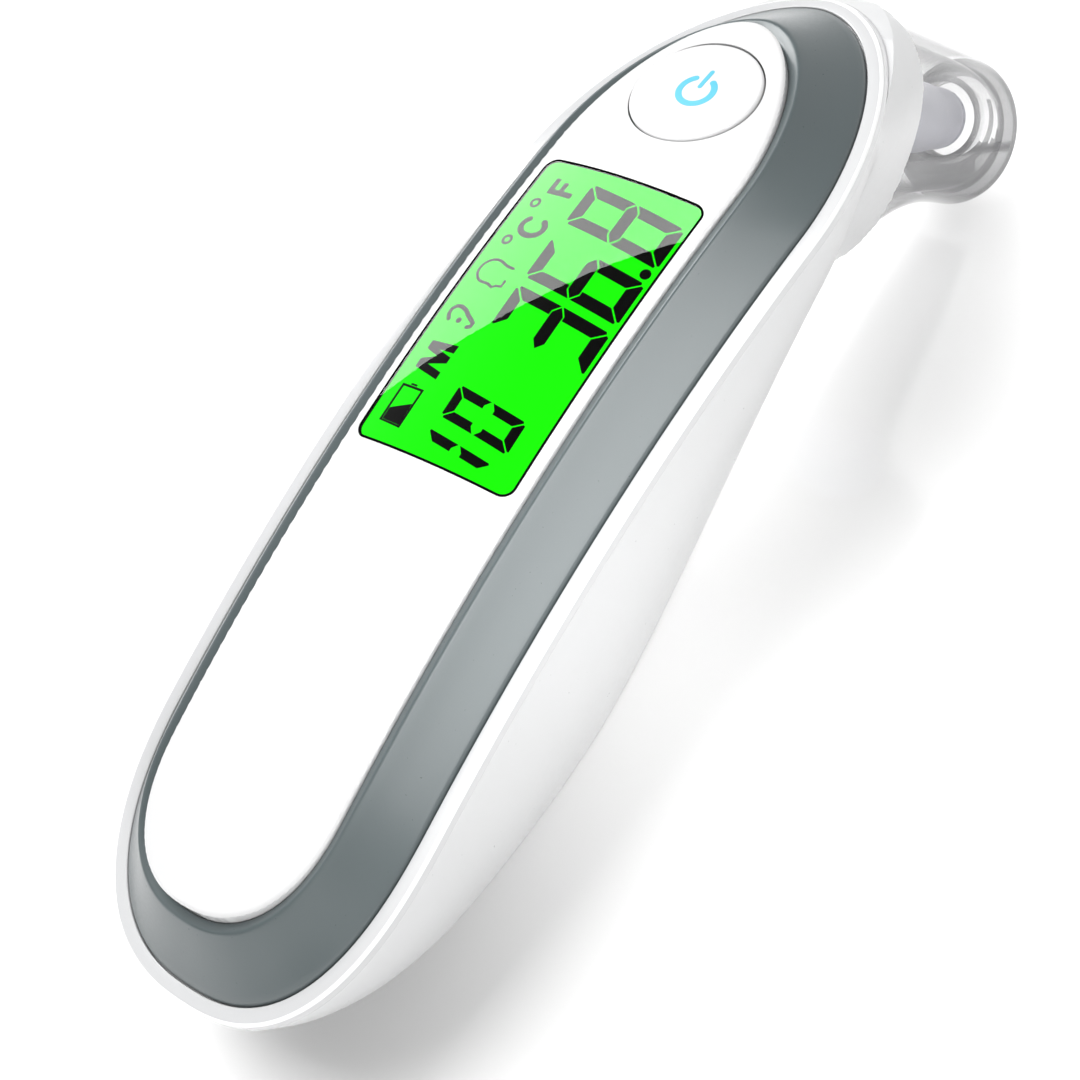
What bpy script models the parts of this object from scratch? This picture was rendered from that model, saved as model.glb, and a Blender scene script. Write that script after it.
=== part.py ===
"""Infrared ear thermometer with a clear forehead cap.

Sizes below are millimetres; MM turns them into Blender's metres.
Two frames are used:
  * the device frame: x across the face, y along the body toward the head, z out of the face;
    the empty "device" places it, tipped so that the part lies on its back on the table;
  * the table frame (world), in which the battery bay and its sliding cover are modelled.
The probe's parts are turned about the empty "probe_axis", whose z points out of the probe.
"""
import math

import bmesh
import bpy
import numpy as np
from mathutils import Matrix, Vector

MM = 0.001

# ---- driving dimensions (mm, degrees) ----
BODY_LENGTH = 138.0
FACE_RADIUS = 258.0            # arch of the face along its length
PANEL_CROWN = 1.4              # rise of the white panel across its width
TRIM_DROP = 5.9                # from the panel's edge down to the trim ring's outer edge
RIM_DROP = 6.05                # from the panel's edge down to the white rim
RIM_WIDTH = 1.9
BEZEL_EDGE = 1.6               # height of the white rim's outer edge
WALL = 2.0
GAP = 0.3
REST_TILT = 12.8               # face tilt when the part lies on its back
REST_SHIFT_Y = -17.77
REST_SHIFT_Z = 45.97
PROBE_TILT = 37.0              # probe axis from the face's inward normal
PROBE_ORIGIN = (0.0, 51.3, -13.8)
HEAD_END = 15.5                # along the probe axis: where the head's wall ends
CAP_END = 54.2
CAP_WALL = 1.4
BELLY_DEPTH = 35.5             # hull depth below the rim at its deepest
BELLY_Y = -17.0
NECK_DEPTH = 12.0
NECK_Y = 44.0
HULL_POWER = 2.6               # roundness of the hull's sections (2 is an ellipse)
COVER_PLANE = 6.8              # height above the table of the battery cover's seam
BUTTON_Y = 44.5
BUTTON_RADIUS = 7.7
BUTTON_PROUD = 0.5
LCD_Y = (-9.2, 30.3)
LCD_HALF_WIDTH = 10.84
CELL_RADIUS = 5.25
CELL_BODY = 43.6
CELL_AXIS_X = 5.6
CELL_AXIS_Z = 12.95
CELL_Y = (-62.0, -17.5)
PCB_TOP = -9.8

# outlines of the face's rings: half width, widening toward the head, ends, end lengths, end powers
PANEL = dict(half=12.16, widen=0.004, bottom=-60.6, top=56.7, bottom_run=15.3, top_run=23.0,
             bottom_power=2.27, top_power=1.84)
TRIM = dict(half=18.17, widen=0.007, bottom=-67.1, top=67.1, bottom_run=26.1, top_run=32.7,
            bottom_power=2.475, top_power=1.82)
# the head's end oval: half width, extents toward the head tip and the handle, power, offset
HEAD_OVAL = dict(half=13.6, tip=13.0, heel=20.5, power=2.27, offset=1.35)
CAP_OVAL = dict(half=9.14, tip=9.96, heel=9.96, power=2.0, offset=-1.64)


# ---- scene set-up ----
for old in list(bpy.data.objects):
    bpy.data.objects.remove(old, do_unlink=True)

PARTS = bpy.data.collections.new("ear_thermometer")
CUTTERS = bpy.data.collections.new("cutters")
bpy.context.scene.collection.children.link(PARTS)
bpy.context.scene.collection.children.link(CUTTERS)


def empty(name, location, tilt, parent=None):
    """An empty that carries a frame: location in mm, tilt in degrees about x."""
    frame = bpy.data.objects.new(name, None)
    frame.empty_display_size = 0.01
    frame.location = Vector(location) * MM
    frame.rotation_euler = (math.radians(tilt), 0, 0)
    frame.parent = parent
    PARTS.objects.link(frame)
    return frame


DEVICE = empty("device", (0, REST_SHIFT_Y, REST_SHIFT_Z), REST_TILT)
PROBE = empty("probe_axis", PROBE_ORIGIN, 180 + PROBE_TILT, DEVICE)


def material(name, colour, roughness=0.4, metallic=0.0, alpha=1.0):
    mat = bpy.data.materials.new(name)
    mat.use_nodes = True
    shader = mat.node_tree.nodes["Principled BSDF"]
    shader.inputs["Base Color"].default_value = (*colour, 1.0)
    shader.inputs["Roughness"].default_value = roughness
    shader.inputs["Metallic"].default_value = metallic
    shader.inputs["Alpha"].default_value = alpha
    return mat


WHITE = (0.88, 0.88, 0.88)


def finish(obj, mat, parent, smooth=35.0):
    """Give a part its material and frame, and shade its round faces smooth."""
    obj.parent = parent
    obj.data.materials.clear()
    obj.data.materials.append(mat)
    obj.data.shade_smooth()
    obj.data.set_sharp_from_angle(angle=math.radians(smooth))
    for coll in list(obj.users_collection):
        coll.objects.unlink(obj)
    PARTS.objects.link(obj)
    return obj


def as_cutter(obj):
    for coll in list(obj.users_collection):
        coll.objects.unlink(obj)
    CUTTERS.objects.link(obj)
    obj.hide_render = True
    obj.display_type = "WIRE"
    return obj


def boolean(obj, other, operation):
    """Boolean modifier; the other object becomes a cutter."""
    mod = obj.modifiers.new(operation.lower(), "BOOLEAN")
    mod.operation = operation
    mod.solver = "EXACT"
    mod.object = as_cutter(other)
    return obj


# ---- shape helpers ----
def mesh_object(name, verts, faces, parent=DEVICE, flat_faces=True):
    """A mesh from points in mm; flat_faces splits it into triangles, so that Booleans meet flat faces."""
    mesh = bpy.data.meshes.new(name)
    mesh.from_pydata([tuple(Vector(v) * MM) for v in verts], [], faces)
    bm = bmesh.new()
    bm.from_mesh(mesh)
    bmesh.ops.recalc_face_normals(bm, faces=bm.faces)
    if flat_faces:
        bmesh.ops.triangulate(bm, faces=bm.faces)
    bm.to_mesh(mesh)
    bm.free()
    obj = bpy.data.objects.new(name, mesh)
    obj.parent = parent
    bpy.context.scene.collection.objects.link(obj)
    return obj


def loft(name, rings, poles=None, parent=DEVICE):
    """Skin closed rings of equal length; poles are (first, last) end points, or None for flat ends."""
    count = len(rings[0])
    verts = [p for ring in rings for p in ring]
    faces = []
    for row in range(len(rings) - 1):
        for i in range(count):
            j = (i + 1) % count
            faces.append((row * count + i, row * count + j, (row + 1) * count + j, (row + 1) * count + i))
    last = (len(rings) - 1) * count
    if poles:
        verts += [poles[0], poles[1]]
        start = len(verts) - 2
        for i in range(count):
            j = (i + 1) % count
            faces.append((start, j, i))
            faces.append((start + 1, last + i, last + j))
    else:
        faces.append(tuple(range(count - 1, -1, -1)))
        faces.append(tuple(range(last, last + count)))
    return mesh_object(name, verts, faces, parent)


def hoop(name, loops, parent=DEVICE):
    """Skin closed loops into a closed band: the last loop joins the first."""
    count = len(loops[0])
    verts = [p for ring in loops for p in ring]
    faces = []
    for row in range(len(loops)):
        nxt = (row + 1) % len(loops)
        for i in range(count):
            j = (i + 1) % count
            faces.append((row * count + i, row * count + j, nxt * count + j, nxt * count + i))
    return mesh_object(name, verts, faces, parent)


def box(name, x, y, z, parent=DEVICE, bevel=0.0):
    """A box from its (low, high) extents on each axis, in mm."""
    bpy.ops.mesh.primitive_cube_add(size=1.0)
    obj = bpy.context.active_object
    obj.name = name
    low = Vector((x[0], y[0], z[0])) * MM
    high = Vector((x[1], y[1], z[1])) * MM
    size = high - low
    centre = (low + high) / 2
    obj.data.transform(Matrix.Diagonal((*size, 1.0)))
    obj.location = centre
    obj.parent = parent
    if bevel:
        mod = obj.modifiers.new("bevel", "BEVEL")
        mod.width = bevel * MM
        mod.segments = 2
    return obj


def cylinder(name, radius, z, at=(0.0, 0.0), parent=DEVICE, steps=28):
    """A cylinder along its frame's z, from z[0] to z[1], in mm."""
    bpy.ops.mesh.primitive_cylinder_add(vertices=steps, radius=radius * MM, depth=(z[1] - z[0]) * MM)
    obj = bpy.context.active_object
    obj.name = name
    obj.data.transform(Matrix.Rotation(math.radians(4.0), 4, "Z"))
    obj.location = Vector((at[0], at[1], (z[0] + z[1]) / 2)) * MM
    obj.parent = parent
    return obj


def turned(name, profile, closed, at=(0.0, 0.0, 0.0), parent=PROBE, steps=28):
    """A turned solid: (radius, height) points, down the outer side from top to bottom."""
    verts = [(r * MM, 0.0, h * MM) for r, h in profile]
    edges = [(i, i + 1) for i in range(len(verts) - 1)]
    if closed:
        edges.append((len(verts) - 1, 0))
    mesh = bpy.data.meshes.new(name)
    mesh.from_pydata(verts, edges, [])
    obj = bpy.data.objects.new(name, mesh)
    bpy.context.scene.collection.objects.link(obj)
    obj.location = Vector(at) * MM
    obj.parent = parent
    mod = obj.modifiers.new("turn", "SCREW")
    mod.steps = steps
    mod.render_steps = steps
    mod.use_merge_vertices = True
    mod.merge_threshold = 0.00001
    return obj


def tube(name, points, radius, parent=DEVICE, resolution=2):
    """A wire along points in mm: a curve with filled caps, made into a mesh."""
    curve = bpy.data.curves.new(name, "CURVE")
    curve.dimensions = "3D"
    curve.bevel_depth = radius * MM
    curve.bevel_resolution = resolution
    curve.use_fill_caps = True
    spline = curve.splines.new("POLY")
    spline.points.add(len(points) - 1)
    for point, place in zip(spline.points, points):
        point.co = (*(Vector(place) * MM), 1.0)
    source = bpy.data.objects.new(name + "_curve", curve)
    bpy.context.scene.collection.objects.link(source)
    mesh = bpy.data.meshes.new_from_object(source.evaluated_get(bpy.context.evaluated_depsgraph_get()))
    bm = bmesh.new()
    bm.from_mesh(mesh)
    bmesh.ops.remove_doubles(bm, verts=bm.verts, dist=0.00001)
    bm.to_mesh(mesh)
    bm.free()
    bpy.data.objects.remove(source, do_unlink=True)
    obj = bpy.data.objects.new(name, mesh)
    obj.parent = parent
    bpy.context.scene.collection.objects.link(obj)
    return obj


# ---- the face's geometry ----
def face_height(y):
    """Height of the panel's edge: the face arches along its length."""
    return -y * y / (2 * FACE_RADIUS)


def half_width(y, outline, grow=0.0):
    """Half width of a face outline at y: a straight middle and a superellipse at each end."""
    bottom_run = outline["bottom_run"] + grow
    top_run = outline["top_run"] + grow
    low = np.clip((outline["bottom"] - grow + bottom_run - y) / bottom_run, 0, 1)
    high = np.clip((y - (outline["top"] + grow - top_run)) / top_run, 0, 1)
    ends = (1 - low ** outline["bottom_power"]) ** (1 / outline["bottom_power"])
    ends = ends * (1 - high ** outline["top_power"]) ** (1 / outline["top_power"])
    return (outline["half"] + grow + outline["widen"] * y) * ends


def outline_points(outline, grow=0.0, count=56):
    """Closed outline as (x, y) points, starting at the bottom tip, going up the +x side."""
    low = outline["bottom"] - grow
    high = outline["top"] + grow
    points = []
    for i in range(count):
        phi = 2 * math.pi * i / count
        y = low + (high - low) * (1 - math.cos(phi)) / 2
        side = 1 if phi < math.pi else -1
        points.append((side * float(half_width(y, outline, grow)), y))
    points[0] = (0.0, low)
    points[count // 2] = (0.0, high)
    return points


def face_loop(outline, grow, drop, count=56):
    """An outline laid on the arched face, lowered by drop."""
    return [(x, y, face_height(y) - drop) for x, y in outline_points(outline, grow, count)]


def blend_loop(share, inner_grow, outer_grow, drop, count=56):
    """A loop part of the way from the panel's outline to the trim ring's."""
    inner = outline_points(PANEL, inner_grow, count)
    outer = outline_points(TRIM, outer_grow, count)
    loop = []
    for (ax, ay), (bx, by) in zip(inner, outer):
        x = ax + (bx - ax) * share
        y = ay + (by - ay) * share
        loop.append((x, y, face_height(y) - drop))
    return loop


# ---- the hull and the head ----
def hull_depth(y):
    """Depth of the hull below the rim: deepest at the batteries, shallow at the neck."""
    if y < BELLY_Y:
        run = (BELLY_Y - y) / (BELLY_Y + BODY_LENGTH / 2)
        return BELLY_DEPTH * (1 - run ** 1.8) ** 0.8
    if y < NECK_Y:
        run = (y - BELLY_Y) / (NECK_Y - BELLY_Y)
        return NECK_DEPTH + (BELLY_DEPTH - NECK_DEPTH) * (1 - run ** 1.6) ** 1.1
    run = (y - NECK_Y) / (BODY_LENGTH / 2 - NECK_Y)
    return NECK_DEPTH * math.sqrt(max(1 - run * run, 0.0))


def hull(name, inset, lift, rows=26, arc=18):
    """Solid hull under the face, inset from the outer skin; lift raises its flat top."""
    half_length = BODY_LENGTH / 2 - inset
    rings = []
    for row in range(1, rows):
        y = -half_length * math.cos(math.pi * row / rows)
        wide = float(half_width(y * (BODY_LENGTH / 2) / half_length, TRIM, RIM_WIDTH)) - inset
        wide = max(wide, 0.6)
        deep = max(hull_depth(y * (BODY_LENGTH / 2) / half_length) - inset, 0.6)
        top = face_height(y) - RIM_DROP
        ring = [(wide, y, top + lift)]
        for i in range(1, arc):
            angle = math.pi * i / arc
            across = math.copysign(abs(math.cos(angle)) ** (2 / HULL_POWER), math.cos(angle))
            down = math.sin(angle) ** (2 / HULL_POWER)
            ring.append((wide * across, y, top - deep * down))
        ring.append((-wide, y, top + lift))
        rings.append(ring)
    tips = [(0.0, side * half_length, face_height(half_length) - RIM_DROP + lift / 2) for side in (-1, 1)]
    return loft(name, rings, tips)


def oval(spec, along, inset, count=32):
    """A ring on the probe axis, in the device frame; angle 0 is its heel, toward the handle."""
    tilt = math.radians(PROBE_TILT)
    axis = Vector((0, math.sin(tilt), -math.cos(tilt)))
    toward_tip = Vector((0, math.cos(tilt), math.sin(tilt)))
    centre = Vector(PROBE_ORIGIN) + axis * along + toward_tip * spec["offset"]
    ring = []
    for i in range(count):
        angle = 2 * math.pi * i / count
        c = -math.cos(angle)
        s = math.sin(angle)
        reach = (spec["tip"] if c > 0 else spec["heel"]) - inset
        across = math.copysign(abs(s) ** (2 / spec["power"]), s) * (spec["half"] - inset)
        up = math.copysign(abs(c) ** (2 / spec["power"]), c) * reach
        ring.append(tuple(centre + Vector((across, 0, 0)) + toward_tip * up))
    return ring


def head_root(inset, rise, count=32):
    """The head's outline at the rim, closed toward the handle, raised along the probe axis by rise."""
    centre = 47.0
    heel = 23.5 - inset
    wide = float(half_width(centre, TRIM, RIM_WIDTH)) - inset
    ring = []
    for i in range(count):
        angle = 2 * math.pi * i / count
        c = -math.cos(angle)
        s = math.sin(angle)
        if c > 0:
            y = centre + (BODY_LENGTH / 2 - centre - inset) * c
            x = max(float(half_width(y + inset * c, TRIM, RIM_WIDTH)) - inset * abs(s), 0.0)
        else:
            y = centre + heel * c
            x = wide * (1 - abs(c) ** 2.5) ** 0.4
        lean = rise * math.tan(math.radians(PROBE_TILT))
        ring.append((math.copysign(x, s), y - lean, face_height(y) - RIM_DROP + rise))
    return ring


def head(name, inset, rise, overrun):
    """The head's boss, from the rim down the probe axis to its end oval."""
    rings = [head_root(inset, rise), oval(HEAD_OVAL, HEAD_END, inset)]
    if overrun:
        rings.append(oval(HEAD_OVAL, HEAD_END + overrun, inset))
    return loft(name, rings)


def face_slab(name, drop, height):
    """Everything above the arched face lowered by drop: a cutter."""
    rings = []
    for i in range(25):
        y = -80.0 + 160.0 * i / 24
        z = face_height(y) - drop
        rings.append([(-30.0, y, z), (30.0, y, z), (30.0, y, z + height), (-30.0, y, z + height)])
    return loft(name, rings)


def below_plane(name, height):
    """A block under the battery cover's seam, in the table frame: a cutter."""
    return box(name, (-30, 30), (-90, -5), (-10, height), None)


PLATE_SCREW = (3.6, 11.0)
CASE_SCREWS = (dict(y=6.0, seat=-31.0, length=9.5), dict(y=-60.3, seat=-20.0, length=5.3))


def rear_casing():
    body = hull("rear_casing", 0.0, 1.0)
    boolean(body, head("head_boss", 0.0, 2.0, 0.0), "UNION")
    hollow = hull("hull_hollow", WALL, 4.0)
    for spec in CASE_SCREWS:
        boss = cylinder("screw_boss", 3.6, (-55.0, spec["seat"] + 3.0), (0.0, spec["y"]))
        boolean(hollow, boss, "DIFFERENCE")
    boolean(body, hollow, "DIFFERENCE")
    hollow = head("head_hollow", WALL, 6.0, 2.0)
    ledge = box("plate_ledge", (-6.8, 6.8), (9.3, 24.0), (8.5, HEAD_END - 2.9), PROBE)
    boolean(hollow, ledge, "DIFFERENCE")
    boolean(body, hollow, "DIFFERENCE")
    for side in (-1, 1):
        bore = cylinder("ledge_bore", 1.25, (2.0, 20.0), (side * PLATE_SCREW[0], PLATE_SCREW[1]), PROBE, 16)
        boolean(body, bore, "DIFFERENCE")
    for spec in CASE_SCREWS:
        boolean(body, cylinder("head_bore", 2.3, (-50.0, spec["seat"]), (0.0, spec["y"])), "DIFFERENCE")
        boolean(body, cylinder("shank_bore", 1.4, (-50.0, 0.0), (0.0, spec["y"])), "DIFFERENCE")
    boolean(body, face_slab("face_cut", RIM_DROP + BEZEL_EDGE + GAP, 30.0), "DIFFERENCE")
    boolean(body, below_plane("cover_cut", COVER_PLANE + GAP), "DIFFERENCE")
    mat = material("casing_white", WHITE, 0.35)
    return finish(body, mat, DEVICE)


def battery_cover():
    cover = hull("battery_cover", 0.0, 1.0)
    boolean(cover, hull("cover_hollow", WALL, 4.0), "DIFFERENCE")
    keep = box("cover_keep", (-30, 30), (-90, -5), (0.0, COVER_PLANE), None)
    boolean(cover, keep, "INTERSECT")
    return finish(cover, material("cover_white", WHITE, 0.4), DEVICE)


# ---- the face ----
def leaning(loop, drop):
    """The loop lowered by drop, leaning along the probe axis toward the head's tip."""
    lean = math.tan(math.radians(PROBE_TILT)) * drop
    lowered = []
    for x, y, z in loop:
        share = min(max((y - 35.0) / 30.0, 0.0), 1.0)
        lowered.append((x, y + lean * share * share, z - drop))
    return lowered


def front_bezel():
    edge = face_loop(TRIM, RIM_WIDTH, RIM_DROP)
    loops = [edge, leaning(edge, BEZEL_EDGE),
             face_loop(TRIM, -2.0, RIM_DROP + BEZEL_EDGE),
             face_loop(TRIM, -2.0, RIM_DROP + 0.9),
             face_loop(TRIM, GAP, RIM_DROP + 0.9),
             face_loop(TRIM, GAP, RIM_DROP)]
    return finish(hoop("front_bezel", loops), material("bezel_white", WHITE, 0.3), DEVICE)


def trim_ring():
    """Grey ring: a narrow bevel by the panel, a crest, and a broad slope to the rim."""
    loops = [blend_loop(0.02, GAP, 0.0, 0.75),
             blend_loop(0.16, GAP, 0.0, 0.25),
             blend_loop(0.55, GAP, 0.0, 2.95),
             blend_loop(1.0, GAP, 0.0, TRIM_DROP),
             blend_loop(1.0, GAP, 0.0, TRIM_DROP + 0.7),
             blend_loop(0.72, GAP, 0.0, TRIM_DROP + 0.7),
             blend_loop(0.16, GAP, 0.0, 2.6),
             blend_loop(0.02, GAP, 0.0, 2.6)]
    return finish(hoop("trim_ring", loops), material("trim_grey", (0.28, 0.31, 0.31), 0.35), DEVICE)


def panel_height(x, y, edge):
    """Height of the crowned panel's top."""
    return face_height(y) + PANEL_CROWN * (1 - min(abs(x) / edge, 1.0) ** 2)


def crowned_plate(name, low_y, high_y, outline, grow, top, thick, rows=26, cols=8, half=None):
    """A plate that follows the panel's arch and crown."""
    rings = []
    for row in range(rows + 1):
        share = (1 - math.cos(math.pi * row / rows)) / 2
        y = low_y + (high_y - low_y) * share
        wide = half if half else max(float(half_width(y, outline, grow)), 0.4)
        edge = outline["half"]
        upper = []
        for i in range(cols + 1):
            x = -wide + 2 * wide * i / cols
            upper.append((x, y, panel_height(x, y, edge) + top))
        lower = [(x, yy, z - thick) for x, yy, z in reversed(upper)]
        rings.append(upper + lower)
    return loft(name, rings)


def rounded_prism(name, x, y, z, radius):
    """A box with rounded vertical edges."""
    points = []
    for cx, cy, start in ((x[1], y[1], 0), (x[0], y[1], 90), (x[0], y[0], 180), (x[1], y[0], 270)):
        ox = cx - math.copysign(radius, cx - sum(x) / 2)
        oy = cy - math.copysign(radius, cy - sum(y) / 2)
        for step in range(5):
            angle = math.radians(start + 22.5 * step)
            points.append((ox + radius * math.cos(angle), oy + radius * math.sin(angle)))
    rings = [[(px, py, height) for px, py in points] for height in z]
    return loft(name, rings)


def front_panel():
    low = PANEL["bottom"]
    high = PANEL["top"]
    panel = crowned_plate("front_panel", low + 0.03, high - 0.03, PANEL, 0.0, 0.0, 1.8)
    window = rounded_prism("window_cut", (-LCD_HALF_WIDTH, LCD_HALF_WIDTH), LCD_Y, (-12, 12), 2.2)
    boolean(panel, window, "DIFFERENCE")
    hole = cylinder("button_hole", BUTTON_RADIUS + GAP, (-20, 12), (0.0, BUTTON_Y), steps=40)
    boolean(panel, hole, "DIFFERENCE")
    return finish(panel, material("panel_white", (0.92, 0.92, 0.92), 0.15), DEVICE)


def lcd_lens():
    inset = 0.35
    low = LCD_Y[0] + inset
    high = LCD_Y[1] - inset
    lens = crowned_plate("lcd_lens", low - 1, high + 1, PANEL, 0.0, 0.0, 1.0, rows=12, cols=8,
                         half=LCD_HALF_WIDTH + 1)
    across = LCD_HALF_WIDTH - inset
    boolean(lens, rounded_prism("lens_keep", (-across, across), (low, high), (-12, 12), 2.0), "INTERSECT")
    return finish(lens, material("lens_clear", (0.9, 0.95, 0.92), 0.05, 0.0, 0.3), DEVICE)


def frame_piece(name, outer_x, outer_y, inner_x, inner_y, z, mat):
    """A rectangular frame."""
    piece = box(name, (-outer_x, outer_x), outer_y, z)
    boolean(piece, box(name + "_opening", (-inner_x, inner_x), inner_y, (z[0] - 2, z[1] + 2)), "DIFFERENCE")
    return finish(piece, mat, DEVICE)


def display():
    mid = sum(LCD_Y) / 2
    reach = (LCD_Y[1] - LCD_Y[0]) / 2
    frame_piece("lens_seal", LCD_HALF_WIDTH + 0.9, (mid - reach - 1.0, mid + reach + 1.0),
                LCD_HALF_WIDTH - 1.0, (mid - reach + 1.0, mid + reach - 1.0), (-4.4, -4.0),
                material("seal_black", (0.01, 0.01, 0.01), 0.6))
    glass = crowned_plate("lcd_glass", mid - 18.7, mid + 18.7, PANEL, 0.0, -1.0 - GAP, 0.9, rows=12, cols=8,
                          half=9.9)
    finish(glass, material("lcd_glass", (0.02, 0.8, 0.02), 0.1), DEVICE)
    under_glass = -3.7
    light = box("lcd_backlight", (-8.6, 8.6), (mid - 18.5, mid + 18.5), (-9.3, under_glass))
    finish(light, material("light_guide", (0.8, 0.95, 0.8), 0.3), DEVICE)
    for number, side in ((1, -1), (2, 1)):
        strip = box("zebra_strip_%d" % number, (side * 9.2 - 0.3, side * 9.2 + 0.3),
                    (mid - 17.0, mid + 17.0), (PCB_TOP + GAP, under_glass))
        finish(strip, material("zebra_%d" % number, (0.3, 0.3, 0.35), 0.7), DEVICE)
    frame_piece("lcd_frame", 12.0, (mid - 21.0, mid + 21.0), 11.1, (mid - 20.0, mid + 20.0),
                (PCB_TOP + GAP, -4.8), material("frame_black", (0.03, 0.03, 0.03), 0.5))


def disc_ring(radius, height, slope, count=40):
    """A round ring about the button's centre, on a plane that follows the face's slope."""
    ring = []
    for i in range(count):
        angle = 2 * math.pi * i / count
        y = radius * math.sin(angle)
        ring.append((radius * math.cos(angle), BUTTON_Y + y, height - slope * y))
    return ring


BUTTON_TOP = face_height(BUTTON_Y) + PANEL_CROWN
BUTTON_FOOT = BUTTON_TOP - 3.6


def power_button():
    """Round key whose domed top follows the face; it travels along the device's z."""
    slope = BUTTON_Y / FACE_RADIUS
    rim = BUTTON_TOP + BUTTON_PROUD - 0.5
    rings = [disc_ring(BUTTON_RADIUS, BUTTON_TOP - 3.0, 0.0),
             disc_ring(BUTTON_RADIUS, rim - 0.3, slope),
             disc_ring(BUTTON_RADIUS - 0.35, rim, slope),
             disc_ring(BUTTON_RADIUS * 0.6, rim + 0.32, slope)]
    poles = [(0.0, BUTTON_Y, BUTTON_TOP - 3.0), (0.0, BUTTON_Y, rim + 0.5)]
    key = loft("power_button", rings, poles)
    boolean(key, cylinder("key_stem", 2.0, (BUTTON_FOOT, BUTTON_TOP - 2.5), (0.0, BUTTON_Y)), "UNION")
    return finish(key, material("button_white", (0.93, 0.93, 0.93), 0.2), DEVICE)


def electronics():
    points = [(-11.0, -34.0), (11.0, -34.0), (11.0, 37.0), (7.5, 51.0), (-7.5, 51.0), (-11.0, 37.0)]
    rings = [[(x, y, z) for x, y in points] for z in (PCB_TOP - 1.2, PCB_TOP)]
    board = loft("main_pcb", rings)
    for x, y in ((8.6, -31.0), (-8.6, -31.0)):
        boolean(board, cylinder("board_bore", 1.2, (-20, 0), (x, y), steps=16), "DIFFERENCE")
    finish(board, material("pcb_green", (0.02, 0.22, 0.09), 0.45), DEVICE)
    under = PCB_TOP - 1.2 - GAP
    finish(box("mcu_chip", (-4.5, 4.5), (2.0, 11.0), (under - 1.4, under)),
           material("chip_black", (0.02, 0.02, 0.02), 0.5), DEVICE)
    finish(box("memory_chip", (-2.0, 2.0), (18.0, 23.0), (under - 1.2, under)),
           material("memory_black", (0.03, 0.03, 0.03), 0.5), DEVICE)
    finish(cylinder("buzzer", 5.5, (PCB_TOP + GAP, PCB_TOP + 3.5), (0.0, -21.0)),
           material("buzzer_black", (0.02, 0.02, 0.02), 0.6), DEVICE)
    switch_top = PCB_TOP + GAP + 2.5
    switch = box("tact_switch", (-3.0, 3.0), (BUTTON_Y - 3.0, BUTTON_Y + 3.0), (PCB_TOP + GAP, switch_top))
    boolean(switch, cylinder("plunger_well", 2.0, (switch_top - 1.4, switch_top + 1), (0.0, BUTTON_Y)),
            "DIFFERENCE")
    finish(switch, material("switch_metal", (0.6, 0.6, 0.6), 0.35, 0.9), DEVICE)
    finish(cylinder("switch_plunger", 1.6, (switch_top - 0.5, BUTTON_FOOT - 0.2), (0.0, BUTTON_Y)),
           material("plunger_black", (0.03, 0.03, 0.03), 0.5), DEVICE)
    for number, side in ((1, -1), (2, 1)):
        pan = [(0.0, 1.5), (1.9, 1.5), (1.9, 0.3), (0.9, 0.3), (0.9, -3.6), (0.0, -3.6)]
        at = (side * 8.6, -31.0, PCB_TOP)
        finish(turned("pcb_screw_%d" % number, pan, False, at, DEVICE, 14),
               material("pcb_screw_steel_%d" % number, (0.55, 0.55, 0.57), 0.3, 1.0), DEVICE)


def chassis():
    """Inner frame under the board, with a post for each case screw."""
    under = -13.3
    plate = box("chassis", (-13.0, 13.0), (-50.0, 33.0), (under - 1.4, under))
    for spec in CASE_SCREWS:
        low = spec["seat"] + 3.3
        post = cylinder("post", 3.4, (low, under - 0.7), (0.0, spec["y"]))
        boolean(plate, post, "UNION")
    arm = box("arm", (-3.0, 3.0), (-60.5, -48.0), (under - 1.2, under - 0.2))
    boolean(plate, arm, "UNION")
    for x in (8.6, -8.6):
        post = cylinder("board_post", 2.4, (under - 0.7, PCB_TOP - 1.5), (x, -31.0), steps=20)
        boolean(plate, post, "UNION")
        boolean(plate, cylinder("post_bore", 1.15, (under - 3.0, under + 3.0), (x, -31.0), steps=16),
                "DIFFERENCE")
    for spec in CASE_SCREWS:
        bore = (-50.0, spec["seat"] + spec["length"] + 0.1)
        boolean(plate, cylinder("thread_bore", 1.35, bore, (0.0, spec["y"]), steps=16), "DIFFERENCE")
    boolean(plate, box("wire_slot", (-4.0, 4.0), (-44.0, -38.0), (-20, -10)), "DIFFERENCE")
    return finish(plate, material("chassis_grey", (0.35, 0.36, 0.37), 0.5), DEVICE)


def case_screws():
    for number, spec in enumerate(CASE_SCREWS, 1):
        head_low = -1.9
        tip = spec["length"]
        profile = [(0.0, tip), (1.05, tip), (1.05, 0.0), (1.95, 0.0), (1.95, head_low), (0.0, head_low)]
        at = (0.0, spec["y"], spec["seat"] - GAP)
        screw = turned("case_screw_%d" % number, profile, False, at, DEVICE, 18)
        finish(screw, material("case_screw_steel_%d" % number, (0.6, 0.6, 0.62), 0.3, 1.0), DEVICE)


# ---- batteries (table frame) ----
def cell(name, side, nose):
    """One AAA cell along y; nose is +1 or -1, the way its positive end points."""
    body = CELL_BODY / 2
    profile = [(0.0, body + 0.9), (1.9, body + 0.9), (1.9, body), (CELL_RADIUS - 0.4, body),
               (CELL_RADIUS, body - 0.4), (CELL_RADIUS, 0.3 - body), (CELL_RADIUS - 0.3, -body),
               (0.0, -body)]
    middle = sum(CELL_Y) / 2
    obj = turned(name, profile, False, (side * CELL_AXIS_X, middle, CELL_AXIS_Z), None, 28)
    obj.rotation_euler = (math.radians(-90 * nose), 0, 0)
    return finish(obj, material(name + "_wrap", (0.35, 0.36, 0.38), 0.3, 0.6), None)


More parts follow.
